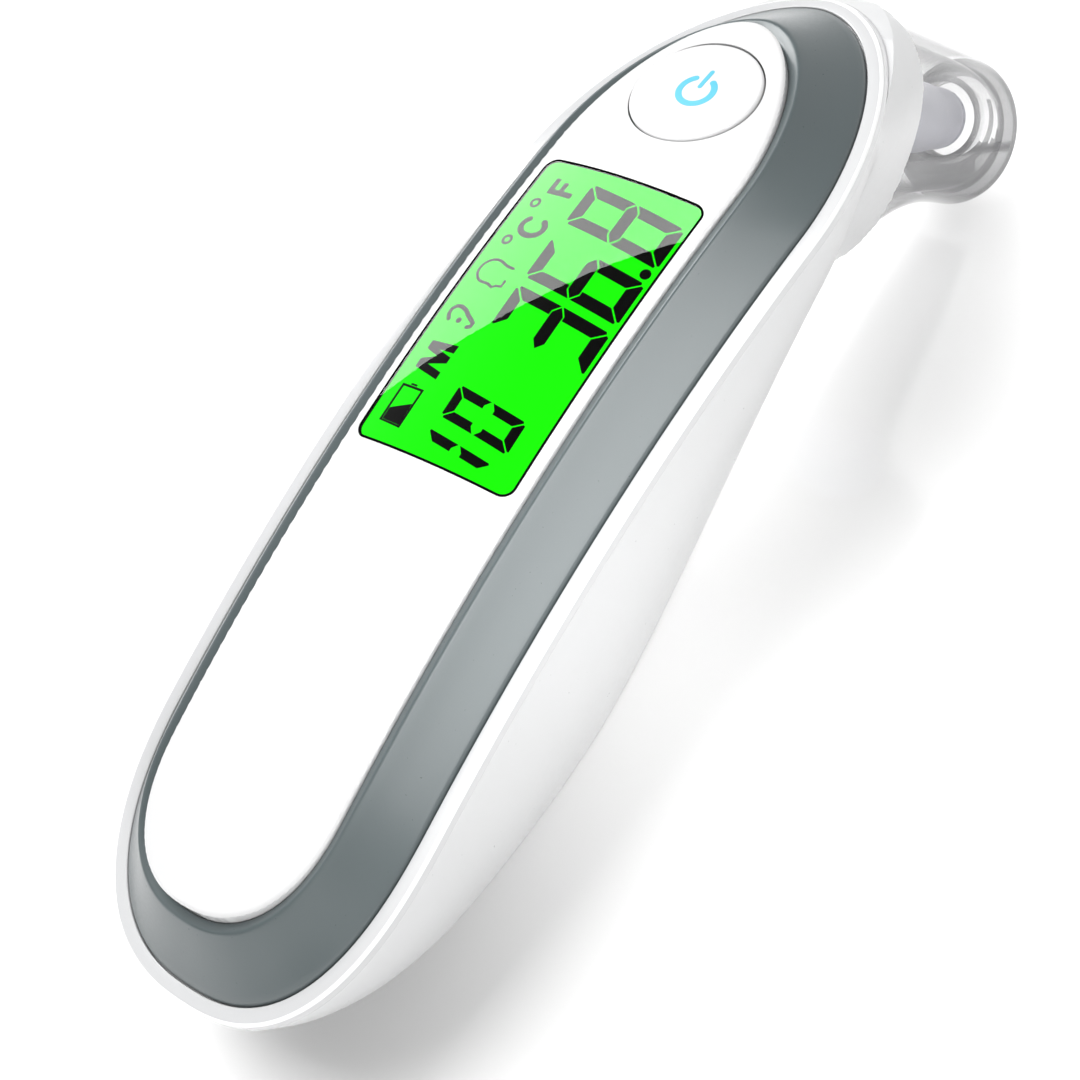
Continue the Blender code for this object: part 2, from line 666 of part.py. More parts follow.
def coil(name, side, start, end, parent=None):
    """A conical contact spring along y."""
    turns = 3.0
    steps = 30
    points = []
    for i in range(steps + 1):
        share = i / steps
        angle = 2 * math.pi * turns * share
        radius = 3.2 - 1.5 * share
        y = start + (end - start) * share
        x = side * CELL_AXIS_X + radius * math.cos(angle)
        points.append((x, y, CELL_AXIS_Z + radius * math.sin(angle)))
    spring = tube(name, points, 0.3, parent, 1)
    return finish(spring, material(name + "_steel", (0.7, 0.7, 0.72), 0.25, 1.0), parent)


TRAY_Y = (-67.2, -13.3)


def batteries():
    tray = box("battery_tray", (-12.2, 12.2), TRAY_Y, (10.2, 19.6), None, 0.8)
    inner = (TRAY_Y[0] + 1.2, TRAY_Y[1] - 1.2)
    bay = (-CELL_AXIS_X - CELL_RADIUS - GAP, CELL_AXIS_X + CELL_RADIUS + GAP)
    boolean(tray, box("tray_bay", bay, inner, (0, CELL_AXIS_Z + CELL_RADIUS + GAP), None), "DIFFERENCE")
    boolean(tray, hull("tray_keep", WALL + 2 * GAP, 4.0), "INTERSECT")
    finish(tray, material("tray_black", (0.04, 0.04, 0.045), 0.55), None)
    cell("battery_1", -1, 1)
    cell("battery_2", 1, -1)
    low = inner[0] + GAP
    high = inner[1] - GAP
    metal = (0.72, 0.72, 0.74)
    plate_z = (CELL_AXIS_Z - 2.0, CELL_AXIS_Z + 3.0)
    bridge = box("contact_bridge", (-8.4, 8.4), (low, low + 0.4), plate_z, None)
    finish(bridge, material("bridge_nickel", metal, 0.25, 1.0), None)
    for name, side in (("contact_plus", -1), ("contact_minus", 1)):
        x = sorted((side * 2.2, side * 8.6))
        plate = box(name, x, (high - 0.4, high), plate_z, None)
        finish(plate, material(name + "_nickel", metal, 0.25, 1.0), None)
    middle = sum(CELL_Y) / 2
    cell_low = middle - CELL_BODY / 2
    cell_high = middle + CELL_BODY / 2
    coil("battery_spring_1", -1, low + 0.4 + GAP + 0.3, cell_low - 0.6)
    coil("battery_spring_2", 1, high - 0.4 - GAP - 0.3, cell_high + 0.6)


# ---- probe and cap ----
PLATE_OVAL = dict(HEAD_OVAL, tip=11.2)
CAP_BASE = dict(HEAD_OVAL, half=12.9, tip=11.9, heel=19.9)


def oval_prism(name, low, high, inset):
    rings = [oval(PLATE_OVAL, along, inset) for along in (low, high)]
    return loft(name, rings)


def probe_plate():
    """Plate that closes the head round the probe, with a raised lip that guides the cap."""
    plate = oval_prism("probe_plate", HEAD_END - 2.6, HEAD_END - 0.6, WALL + GAP)
    boolean(plate, oval_prism("lip", HEAD_END - 1.5, HEAD_END + 2.0, 3.3), "UNION")
    boolean(plate, oval_prism("lip_hollow", HEAD_END - 0.6, HEAD_END + 4.0, 4.5), "DIFFERENCE")
    boolean(plate, cylinder("probe_bore", 7.1, (0, 40), parent=PROBE, steps=32), "DIFFERENCE")
    for side in (-1, 1):
        at = (side * PLATE_SCREW[0], PLATE_SCREW[1])
        boolean(plate, cylinder("plate_bore", 1.3, (0, 40), at, PROBE, 16), "DIFFERENCE")
    return finish(plate, material("plate_white", WHITE, 0.4), DEVICE)


def plate_screws():
    for number, side in ((1, -1), (2, 1)):
        profile = [(0.0, 1.5), (1.9, 1.5), (1.9, 0.3), (1.0, 0.3), (1.0, -4.0), (0.0, -4.0)]
        at = (side * PLATE_SCREW[0], PLATE_SCREW[1], HEAD_END - 0.6)
        screw = turned("plate_screw_%d" % number, profile, False, at, PROBE, 16)
        finish(screw, material("plate_screw_steel_%d" % number, (0.6, 0.6, 0.62), 0.3, 1.0), PROBE)


def probe_parts():
    cone = [(3.05, 46.6), (4.0, 46.6), (4.14, 46.2), (4.3, 41.7), (4.6, 41.4), (4.75, 38.0), (5.1, 30.0),
            (5.7, 23.0), (6.8, 17.5), (6.8, 12.6), (8.4, 12.6), (8.4, 11.0), (5.0, 11.0), (4.4, 22.0),
            (3.7, 30.0), (3.05, 41.0)]
    finish(turned("probe_cone", cone, True), material("probe_grey", (0.62, 0.62, 0.68), 0.35), PROBE)
    ring = [(2.0, 48.0), (3.6, 48.0), (4.0, 47.6), (4.0, 46.9), (2.75, 46.9), (2.75, 44.5), (2.0, 44.5)]
    finish(turned("probe_tip_ring", ring, True), material("tip_grey", (0.5, 0.5, 0.56), 0.35), PROBE)
    lens = [(0.0, 47.6), (1.7, 47.6), (1.7, 47.0), (0.0, 47.0)]
    finish(turned("probe_window", lens, False, steps=24),
           material("window_dark", (0.08, 0.07, 0.1), 0.1, 0.3), PROBE)
    guide = [(1.3, 44.1), (1.65, 44.1), (1.65, 24.6), (1.3, 24.6)]
    finish(turned("waveguide", guide, True, steps=24),
           material("guide_gold", (0.9, 0.65, 0.25), 0.15, 1.0), PROBE)
    can = [(0.0, 24.2), (2.3, 24.2), (2.3, 21.2), (2.7, 21.2), (2.7, 20.6), (0.0, 20.6)]
    finish(turned("thermopile", can, False, steps=24),
           material("can_steel", (0.7, 0.7, 0.7), 0.25, 1.0), PROBE)
    sleeve = [(2.6, 26.0), (3.6, 26.0), (3.6, 14.0), (3.1, 14.0), (3.1, 21.6), (2.6, 21.6)]
    finish(turned("sensor_sleeve", sleeve, True, steps=24),
           material("sleeve_aluminium", (0.75, 0.75, 0.77), 0.3, 1.0), PROBE)


def cap_ring(share, inset, count=32):
    """A ring of the cap's wall: straight on the tip side, sweeping in on the heel side."""
    mix = {}
    for key, power in (("half", 1.5), ("tip", 1.0), ("heel", 2.6), ("power", 1.0), ("offset", 1.0)):
        mix[key] = CAP_OVAL[key] + (CAP_BASE[key] - CAP_OVAL[key]) * (1 - share) ** power
    along = HEAD_END + GAP + (CAP_END - HEAD_END - GAP) * share
    return oval(mix, along, inset, count)


def clear_cap():
    """Clear cap: a flared skirt, a rounded rim and a dished end with a short sighting tube."""
    steps = (0.0, 0.07, 0.16, 0.28, 0.44, 0.65, 0.86, 0.97)
    loops = [cap_ring(s, 0.0) for s in steps]
    loops += [cap_ring(0.993, 0.35), cap_ring(1.0, 1.0), cap_ring(1.0, 2.0)]
    hole = dict(half=4.9, tip=4.9, heel=4.9, power=2.0, offset=0.0)
    loops += [oval(hole, CAP_END - 2.4, 0.0), oval(hole, CAP_END - 6.2, 0.0)]
    loops += [oval(hole, CAP_END - 6.2, -0.9), oval(hole, CAP_END - 3.8, -0.9)]
    loops += [cap_ring(0.962, 2.2)]
    loops += [cap_ring(s, CAP_WALL) for s in reversed(steps[:-1])]
    cap = hoop("clear_cap", loops)
    return finish(cap, material("cap_clear", (0.9, 0.92, 0.93), 0.05, 0.0, 0.3), DEVICE)


def smooth_route(points, count):
    """Catmull-Rom curve through points."""
    pts = [Vector(p) for p in points]
    pts = [pts[0] * 2 - pts[1]] + pts + [pts[-1] * 2 - pts[-2]]
    out = []
    spans = len(pts) - 3
    for i in range(count + 1):
        t = i / count * spans
        k = min(int(t), spans - 1)
        f = t - k
        a, b, c, d = pts[k:k + 4]
        out.append(((b * 2) + (c - a) * f + (a * 2 - b * 5 + c * 4 - d) * f ** 2
                    + (b * 3 - a - c * 3 + d) * f ** 3) / 2)
    return out


def wires():
    """Leads inside the case, in the device frame."""
    under = PCB_TOP - 1.2 - GAP
    routes = {
        "sensor_lead": ([(0.0, 58.3, -23.6), (0.6, 55.0, -20.0), (1.0, 50.0, -17.0), (0.4, 46.0, -14.5),
                         (0.0, 44.0, under - 0.6)], (0.1, 0.1, 0.1)),
        "battery_lead_plus": ([(-3.0, -10.0, -22.5), (-5.0, -4.0, -20.0), (-10.5, 10.0, -18.6),
                               (-9.8, 36.0, -16.5), (-8.0, 38.5, under - 0.6)], (0.6, 0.02, 0.02)),
        "battery_lead_minus": ([(3.0, -10.0, -22.5), (5.0, -4.0, -20.0), (10.5, 10.0, -18.6),
                                (9.8, 36.0, -16.5), (8.0, 38.5, under - 0.6)], (0.02, 0.02, 0.02)),
    }
    for name, (route, colour) in routes.items():
        lead = tube(name, smooth_route(route, 12), 0.5, DEVICE, 1)
        finish(lead, material(name + "_pvc", colour, 0.5), DEVICE)


rear_casing()
battery_cover()
front_bezel()
trim_ring()
front_panel()
lcd_lens()
display()
power_button()
electronics()
chassis()
case_screws()
batteries()
probe_plate()
plate_screws()
probe_parts()
clear_cap()
wires()
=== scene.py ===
"""Looks for the infrared ear thermometer: fine surfaces, materials, studio light and camera.

Shapes are worked out in the device frame (mm): x across the face, y along the body toward the head,
z out of the face. world() places them as the CAD lies on the table.
"""

import math

import bmesh
import bpy
import numpy as np
from mathutils import Matrix, Vector
from mathutils.bvhtree import BVHTree

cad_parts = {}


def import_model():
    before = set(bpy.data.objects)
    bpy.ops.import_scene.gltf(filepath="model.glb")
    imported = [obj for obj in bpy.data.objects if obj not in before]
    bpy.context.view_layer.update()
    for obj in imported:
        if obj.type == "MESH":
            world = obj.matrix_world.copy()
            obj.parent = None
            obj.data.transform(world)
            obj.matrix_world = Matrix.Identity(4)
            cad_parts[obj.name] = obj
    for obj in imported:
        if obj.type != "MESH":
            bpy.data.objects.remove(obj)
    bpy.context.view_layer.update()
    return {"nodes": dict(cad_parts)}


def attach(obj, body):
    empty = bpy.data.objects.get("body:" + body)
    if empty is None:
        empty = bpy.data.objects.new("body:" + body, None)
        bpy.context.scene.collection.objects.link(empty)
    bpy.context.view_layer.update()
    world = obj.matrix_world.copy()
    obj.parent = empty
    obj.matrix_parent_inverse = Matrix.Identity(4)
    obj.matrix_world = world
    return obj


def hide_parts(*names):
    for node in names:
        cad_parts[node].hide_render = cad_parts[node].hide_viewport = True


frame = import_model()

MM = 0.001
BODY_LENGTH = 138.0
FACE_RADIUS = 258.0
PANEL_CROWN = 1.4
TRIM_FOOT = 6.9
TRIM_THICK = 2.7
RIM_DROP = 6.05
RIM_WIDTH = 1.87
BEZEL_EDGE = 1.6
WALL = 2.0
GAP = 0.3
REST_TILT = math.radians(12.8)
REST_SHIFT = Vector((0.0, -17.77, 45.97))
PROBE_TILT = math.radians(37.0)
PROBE_ORIGIN = Vector((0.0, 51.3, -13.8))
AXIS = Vector((0.0, math.sin(PROBE_TILT), -math.cos(PROBE_TILT)))
TOWARD_TIP = Vector((0.0, math.cos(PROBE_TILT), math.sin(PROBE_TILT)))
HEAD_END = 15.5
CAP_END = 54.2
CAP_WALL = 1.4
BELLY_DEPTH = 35.5
BELLY_Y = -17.0
NECK_DEPTH = 12.0
NECK_Y = 44.0
HULL_POWER = 2.6
COVER_PLANE = 6.8
BUTTON_Y = 44.5
BUTTON_RADIUS = 7.7
LCD_Y = (-9.1, 30.6)
LCD_HALF_WIDTH = 10.98
PANEL = dict(half=12.16, widen=0.004, bottom=-60.6, top=56.7, bottom_run=15.3, top_run=23.0,
             bottom_power=2.27, top_power=1.84)
TRIM = dict(half=18.17, widen=0.007, bottom=-67.1, top=67.1, bottom_run=26.1, top_run=32.7,
            bottom_power=2.475, top_power=1.82)
HEAD_OVAL = dict(half=13.6, tip=13.0, heel=20.5, power=2.27, offset=1.35)
CAP_BASE = dict(HEAD_OVAL, half=12.9, tip=11.9, heel=19.9)
CAP_OVAL = dict(half=9.14, tip=9.96, heel=9.96, power=2.0, offset=-1.64)
CASE_SCREWS = (dict(y=6.0, seat=-31.0), dict(y=-60.3, seat=-20.0))
KEY_EDGE = 0.38
KEY_CROWN = 0.5
KEY_SINK = 0.06
WINDOW_CORNER = 1.6
CAP_DISH = 2.4
CAP_HOLE = dict(half=4.9, tip=4.9, heel=4.9, power=2.0, offset=0.0)
CAP_SIDES = 192
GRID_OFFSET = 0.0137
FLOOR_HALF = 1.5
CAMERA_PLACE = (133.875, -62.792, 179.269)
CAMERA_TARGET = (16.67, -11.39, 0.0)
CAMERA_ROLL = math.radians(-19.985)

TURN = Matrix.Rotation(REST_TILT, 3, "X")


def world(p):
    """Device frame, mm, to the frame of the table, m."""
    return (TURN @ Vector(p) + REST_SHIFT) * MM


def from_table(p):
    """Frame of the table, mm to m."""
    return Vector(p) * MM


def to_device(p):
    """Frame of the table, m, to the device frame, mm."""
    return TURN.inverted() @ (p / MM - REST_SHIFT)


def probe_place(p):
    """Probe frame (x across, y toward the head's tip, z along the axis), mm, to the table's, m."""
    return world(PROBE_ORIGIN + Vector((p[0], 0, 0)) + TOWARD_TIP * p[1] + AXIS * p[2])


# ---------------------------------------------------------------- mesh helpers
def linked(name, data):
    """A new object of this data, put in the scene."""
    obj = bpy.data.objects.new(name, data)
    bpy.context.scene.collection.objects.link(obj)
    return obj


def plain_mesh(name, verts, faces):
    mesh = bpy.data.meshes.new(name)
    mesh.from_pydata([tuple(v) for v in verts], [], faces)
    return linked(name, mesh)


def mesh_object(name, verts, faces, place=world, smooth=40.0):
    obj = plain_mesh(name, [place(v) for v in verts], faces)
    bm = bmesh.new()
    bm.from_mesh(obj.data)
    bmesh.ops.recalc_face_normals(bm, faces=bm.faces)
    bm.to_mesh(obj.data)
    bm.free()
    shade(obj, smooth)
    return obj


def shade(obj, angle):
    obj.data.shade_smooth()
    obj.data.set_sharp_from_angle(angle=math.radians(angle))


def band(row, following, count):
    """Faces between two loops of count points each; row and following are the loops' numbers."""
    a, b = row * count, following * count
    return [(a + i, a + (i + 1) % count, b + (i + 1) % count, b + i) for i in range(count)]


def loft(name, rings, poles=None, smooth=40.0):
    """Closed solid through rings of points, its ends flat or drawn to two poles."""
    count = len(rings[0])
    verts = [p for ring in rings for p in ring]
    faces = []
    for row in range(len(rings) - 1):
        faces += band(row, row + 1, count)
    last = (len(rings) - 1) * count
    if poles:
        start = len(verts)
        verts += poles
        for i in range(count):
            j = (i + 1) % count
            faces.append((start, j, i))
            faces.append((start + 1, last + i, last + j))
    else:
        faces.append(tuple(range(count - 1, -1, -1)))
        faces.append(tuple(range(last, last + count)))
    return mesh_object(name, verts, faces, smooth=smooth)


def hoop(name, loops, place=world, smooth=40.0):
    """Closed ring whose section runs from loop to loop and back to the first."""
    count = len(loops[0])
    faces = []
    for row in range(len(loops)):
        faces += band(row, (row + 1) % len(loops), count)
    return mesh_object(name, [p for loop in loops for p in loop], faces, place, smooth)


def circle(radius, count, at=(0.0, 0.0), turn=0.0):
    angles = [2 * math.pi * i / count + turn for i in range(count)]
    return [(at[0] + radius * math.cos(a), at[1] + radius * math.sin(a)) for a in angles]


def lathe(name, profile, count=96):
    """A hollow ring turned on the probe's axis; the closed profile is (radius, height) pairs."""
    return hoop(name, [[(x, y, h) for x, y in circle(r, count)] for r, h in profile], probe_place)


def rounded(profile, radius, steps):
    """Rounds each corner of a closed profile."""
    out = []
    n = len(profile)
    for i in range(n):
        a, b, c = (Vector(profile[k % n]) for k in (i - 1, i, i + 1))
        u, v = a - b, c - b
        r = min(radius, u.length * 0.45, v.length * 0.45)
        if r <= 0.001:
            out.append(tuple(b))
            continue
        u.normalize()
        v.normalize()
        for k in range(steps + 1):
            t = k / steps
            p = (b + u * r) * (1 - t) ** 2 + b * 2 * t * (1 - t) + (b + v * r) * t ** 2
            out.append(tuple(p))
    return out


def bake_modifiers(obj):
    """Swaps the object's mesh for the one that its modifiers make."""
    bpy.context.view_layer.update()
    mesh = bpy.data.meshes.new_from_object(obj.evaluated_get(bpy.context.evaluated_depsgraph_get()))
    obj.modifiers.clear()
    old = obj.data
    obj.data = mesh
    bpy.data.meshes.remove(old)


def apply_boolean(obj, cutter, operation="DIFFERENCE"):
    mod = obj.modifiers.new("cut", "BOOLEAN")
    mod.operation = operation
    mod.solver = "EXACT"
    mod.object = cutter
    bake_modifiers(obj)
    bpy.data.objects.remove(cutter, do_unlink=True)


def triangulated(obj):
    bm = bmesh.new()
    bm.from_mesh(obj.data)
    bmesh.ops.triangulate(bm, faces=bm.faces)
    bm.to_mesh(obj.data)
    bm.free()
    return obj


def block(name, x, y, z, place):
    verts = [(a, b, c) for a in x for b in y for c in z]
    faces = [(0, 1, 3, 2), (4, 6, 7, 5), (0, 4, 5, 1), (2, 3, 7, 6), (0, 2, 6, 4), (1, 5, 7, 3)]
    return mesh_object(name, verts, faces, place)


def prism(name, outline, z):
    return loft(name, [[(x, y, h) for x, y in outline] for h in z])


def rod(name, radius, at, z, count=48):
    return prism(name, circle(radius, count, at, 0.05), z)


# ---------------------------------------------------------------- the face's geometry
def face_height(y):
    return -y * y / (2 * FACE_RADIUS)


def half_width(y, outline, grow=0.0):
    bottom_run = outline["bottom_run"] + grow
    top_run = outline["top_run"] + grow
    low = np.clip((outline["bottom"] - grow + bottom_run - y) / bottom_run, 0, 1)
    high = np.clip((y - (outline["top"] + grow - top_run)) / top_run, 0, 1)
    ends = (1 - low ** outline["bottom_power"]) ** (1 / outline["bottom_power"])
    ends = ends * (1 - high ** outline["top_power"]) ** (1 / outline["top_power"])
    return (outline["half"] + grow + outline["widen"] * y) * ends


def outline_points(outline, grow=0.0, count=280):
    low = outline["bottom"] - grow
    high = outline["top"] + grow
    points = []
    for i in range(count):
        phi = 2 * math.pi * i / count
        y = low + (high - low) * (1 - math.cos(phi)) / 2
        side = 1 if phi < math.pi else -1
        points.append((side * float(half_width(y, outline, grow)), y))
    points[0] = (0.0, low)
    points[count // 2] = (0.0, high)
    return points


def face_loop(outline, grow, drop, count=280):
    return [(x, y, face_height(y) - drop) for x, y in outline_points(outline, grow, count)]


def blend_loop(share, inner_grow, outer_grow, drop, count=280):
    inner = outline_points(PANEL, inner_grow, count)
    outer = outline_points(TRIM, outer_grow, count)
    loop = []
    for (ax, ay), (bx, by) in zip(inner, outer):
        x = ax + (bx - ax) * share
        y = ay + (by - ay) * share
        loop.append((x, y, face_height(y) - drop))
    return loop


def panel_height(x, y):
    return face_height(y) + PANEL_CROWN * (1 - min(abs(x) / PANEL["half"], 1.0) ** 2)


# ---------------------------------------------------------------- the shell
def hull_depth(y):
    if y < BELLY_Y:
        run = (BELLY_Y - y) / (BELLY_Y + BODY_LENGTH / 2)
        return BELLY_DEPTH * max(1 - run ** 1.8, 0.0) ** 0.8
    if y < NECK_Y:
        run = (y - BELLY_Y) / (NECK_Y - BELLY_Y)
        return NECK_DEPTH + (BELLY_DEPTH - NECK_DEPTH) * (1 - run ** 1.6) ** 1.1
    run = (y - NECK_Y) / (BODY_LENGTH / 2 - NECK_Y)
    return NECK_DEPTH * math.sqrt(max(1 - run * run, 0.0))


def hull(name, inset, lift, rows=120, arc=72):
    half_length = BODY_LENGTH / 2 - inset
    rings = []
    for row in range(1, rows):
        y = -half_length * math.cos(math.pi * row / rows)
        wide = float(half_width(y * (BODY_LENGTH / 2) / half_length, TRIM, RIM_WIDTH)) - inset
        wide = max(wide, 0.6)
        deep = max(hull_depth(y * (BODY_LENGTH / 2) / half_length) - inset, 0.6)
        top = face_height(y) - RIM_DROP
        ring = [(wide, y, top + lift)]
        for i in range(1, arc):
            angle = math.pi * i / arc
            across = math.copysign(abs(math.cos(angle)) ** (2 / HULL_POWER), math.cos(angle))
            down = math.sin(angle) ** (2 / HULL_POWER)
            ring.append((wide * across, y, top - deep * down))
        ring.append((-wide, y, top + lift))
        rings.append(ring)
    tips = [(0.0, side * half_length, face_height(half_length) - RIM_DROP + lift / 2) for side in (-1, 1)]
    return triangulated(loft(name, rings, tips))


def oval(spec, along, inset, count=160):
    centre = PROBE_ORIGIN + AXIS * along + TOWARD_TIP * spec["offset"]
    ring = []
    for i in range(count):
        angle = 2 * math.pi * i / count
        c = -math.cos(angle)
        s = math.sin(angle)
        reach = (spec["tip"] if c > 0 else spec["heel"]) - inset
        across = math.copysign(abs(s) ** (2 / spec["power"]), s) * (spec["half"] - inset)
        up = math.copysign(abs(c) ** (2 / spec["power"]), c) * reach
        ring.append(tuple(centre + Vector((across, 0, 0)) + TOWARD_TIP * up))
    return ring


def head_root(inset, rise, count=160):
    centre = 47.0
    heel = 23.5 - inset
    wide = float(half_width(centre, TRIM, RIM_WIDTH)) - inset
    ring = []
    for i in range(count):
        angle = 2 * math.pi * i / count
        c = -math.cos(angle)
        s = math.sin(angle)
        if c > 0:
            y = centre + (BODY_LENGTH / 2 - centre - inset) * c
            x = max(float(half_width(y + inset * c, TRIM, RIM_WIDTH)) - inset * abs(s), 0.0)
        else:
            y = centre + heel * c
            x = wide * max(1 - abs(c) ** 2.5, 0.0) ** 0.4
        lean = rise * math.tan(PROBE_TILT)
        ring.append((math.copysign(x, s), y - lean, face_height(y) - RIM_DROP + rise))
    return ring


def head(name, inset, rise, overrun):
    rings = [head_root(inset, rise)]
    end = oval(HEAD_OVAL, HEAD_END, inset)
    for k in range(1, 16):
        rings.append([tuple(Vector(a).lerp(Vector(b), k / 16)) for a, b in zip(rings[0], end)])
    rings.append(end)
    if overrun:
        rings.append(oval(HEAD_OVAL, HEAD_END + overrun, inset))
    return triangulated(loft(name, rings))


def face_slab(name, drop, height):
    rings = []
    for i in range(161):
        y = -80.0 + 160.0 * i / 160
        z = face_height(y) - drop
        rings.append([(-30.0, y, z), (30.0, y, z), (30.0, y, z + height), (-30.0, y, z + height)])
    return loft(name, rings)


def bvh_of(obj):
    bm = bmesh.new()
    bm.from_mesh(obj.data)
    tree = BVHTree.FromBMesh(bm)
    bm.free()
    return tree


def smooth_union(name, a, b, voxel, reach):
    """One skin round two solids: remeshed, drawn back onto them, and eased where they meet."""
    tree_a, tree_b = bvh_of(a), bvh_of(b)
    bm = bmesh.new()
    bm.from_mesh(a.data)
    bm.from_mesh(b.data)
    mesh = bpy.data.meshes.new(name)
    bm.to_mesh(mesh)
    bm.free()
    obj = linked(name, mesh)
    mod = obj.modifiers.new("skin", "REMESH")
    mod.mode = "VOXEL"
    mod.voxel_size = voxel * MM
    bake_modifiers(obj)
    skin = obj.data
    near = []
    for v in skin.vertices:
        pa, _, _, da = tree_a.find_nearest(v.co)
        pb, _, _, db = tree_b.find_nearest(v.co)
        depth = -to_device(v.co).z - RIM_DROP - 1.0
        share = max(0.0, 1.0 - max(da, db) / (reach * MM)) * min(max(depth / 8.0, 0.0), 1.0)
        v.co = pa if da < db else pb
        near.append(share)
    bm = bmesh.new()
    bm.from_mesh(skin)
    bm.verts.ensure_lookup_table()
    for _ in range(14):
        moved = []
        for v in bm.verts:
            w = near[v.index]
            if w > 0.0:
                mean = sum((e.other_vert(v).co for e in v.link_edges), Vector()) / len(v.link_edges)
                moved.append((v, v.co.lerp(mean, min(1.0, 1.6 * w))))
        for v, co in moved:
            v.co = co
    bm.to_mesh(skin)
    bm.free()
    bpy.data.objects.remove(a, do_unlink=True)
    bpy.data.objects.remove(b, do_unlink=True)
    return obj


def make_shell():
    voxel = 0.5
    shell = smooth_union("shell", hull("hull_skin", 0.0, 1.0), head("head_skin", 0.0, 2.0, 0.0), voxel, 3.0)
    hollow = hull("hull_hollow", WALL, 4.0, 60, 36)
    for spec in CASE_SCREWS:
        apply_boolean(hollow, rod("boss", 3.6, (0.0, spec["y"]), (-55.0, spec["seat"] + 3.0)))
    apply_boolean(shell, hollow)
    hollow = head("head_hollow", WALL, 6.0, 2.0)
    ledge = block("ledge", (-6.8, 6.8), (-24.0, -9.3), (8.5, HEAD_END - 2.9), probe_place)
    apply_boolean(hollow, ledge)
    apply_boolean(shell, hollow)
    for spec in CASE_SCREWS:
        apply_boolean(shell, rod("head_bore", 2.3, (0.0, spec["y"]), (-50.0, spec["seat"])))
        apply_boolean(shell, rod("shank_bore", 1.4, (0.0, spec["y"]), (-50.0, 0.0)))
    apply_boolean(shell, face_slab("face_cut", RIM_DROP + BEZEL_EDGE + 0.03, 30.0))
    apply_boolean(shell, block("cover_cut", (-30, 30), (-90, -5), (-10, COVER_PLANE + GAP), from_table))
    shade(shell, 45.0)
    return shell


def make_cover():
    cover = hull("cover", 0.0, 1.0, 200, 96)
    apply_boolean(cover, hull("cover_hollow", WALL, 4.0, 60, 36))
    keep = block("cover_keep", (-30, 30), (-90, -5), (0.0, COVER_PLANE), from_table)
    apply_boolean(cover, keep, "INTERSECT")
    shade(cover, 45.0)
    return cover


# ---------------------------------------------------------------- pieces of the face
def leaning(loop, drop):
    lean = math.tan(PROBE_TILT) * drop
    lowered = []
    for x, y, z in loop:
        share = min(max((y - 35.0) / 30.0, 0.0), 1.0)
        lowered.append((x, y + lean * share * share, z - drop))
    return lowered


def make_bezel():
    def at(grow, drop):
        return face_loop(TRIM, grow, RIM_DROP + drop)
    loops = [at(0.12, 0.9), at(0.12, 0.12), at(0.17, 0.04), at(0.28, 0.0), at(0.9, -0.02), at(1.45, 0.0),
             at(1.62, 0.035), at(1.75, 0.10), at(1.84, 0.21), at(1.868, 0.34)]
    edge = at(RIM_WIDTH, 0.0)
    loops += [leaning(edge, 0.5), leaning(edge, 1.0), leaning(edge, BEZEL_EDGE)]
    loops += [at(-1.5, BEZEL_EDGE), at(-1.5, 0.92)]
    return hoop("bezel", loops, smooth=50.0)


def make_trim():
    """Ring between panel and rim; its steps are (share of the way out, drop below the face)."""
    inner_bevel = ((0.0, 0.62), (0.012, 0.53), (0.05, 0.45), (0.10, 0.32), (0.125, 0.24), (0.145, 0.19))
    crest = ((0.16, 0.17), (0.175, 0.19), (0.195, 0.29), (0.22, 0.47))
    slope = ((0.3, 1.08), (0.45, 2.25), (0.6, 3.35), (0.75, 4.4), (0.88, 5.25), (0.95, 5.7))
    foot = ((0.972, 5.9), (0.985, 6.12), (0.995, 6.5), (0.995, TRIM_FOOT))
    underside = ((0.7, TRIM_FOOT), (0.16, TRIM_THICK), (0.0, TRIM_THICK))
    steps = inner_bevel + crest + slope + foot + underside
    loops = [blend_loop(share, 0.05, 0.0, drop) for share, drop in steps]
    return hoop("trim", loops, smooth=50.0)


def make_panel():
    """Crowned plate whose border is rounded over; the window and the key's hole are cut through it."""
    low, high = PANEL["bottom"] + 0.004, PANEL["top"] - 0.004
    rows, cols, r, thick = 200, 48, 0.45, 1.8
    edge = np.array(outline_points(PANEL, 0.0, 1400))
    rings = []
    for row in range(rows + 1):
        y = low + (high - low) * (1 - math.cos(math.pi * row / rows)) / 2
        wide = max(float(half_width(y, PANEL)), 0.25)
        upper = []
        for i in range(cols + 1):
            x = -wide * math.cos(math.pi * i / cols)
            d = float(np.sqrt(((edge - (x, y)) ** 2).sum(1).min()))
            d = max(min(d - 0.02, r), 0.0)
            fall = r - math.sqrt(max(r * r - (r - d) ** 2, 0.0))
            upper.append((x, y, panel_height(x, y) - fall))
        lower = [(x, yy, face_height(yy) - thick) for x, yy, _ in reversed(upper)]
        rings.append(upper + lower)
    panel = triangulated(loft("panel", rings))
    apply_boolean(panel, prism("window_cut", window_outline(0.0), (-12, 12)))
    apply_boolean(panel, rod("key_hole", BUTTON_RADIUS + 0.17, (0.0, BUTTON_Y), (-20, 12), 160))
    shade(panel, 30.0)
    return panel


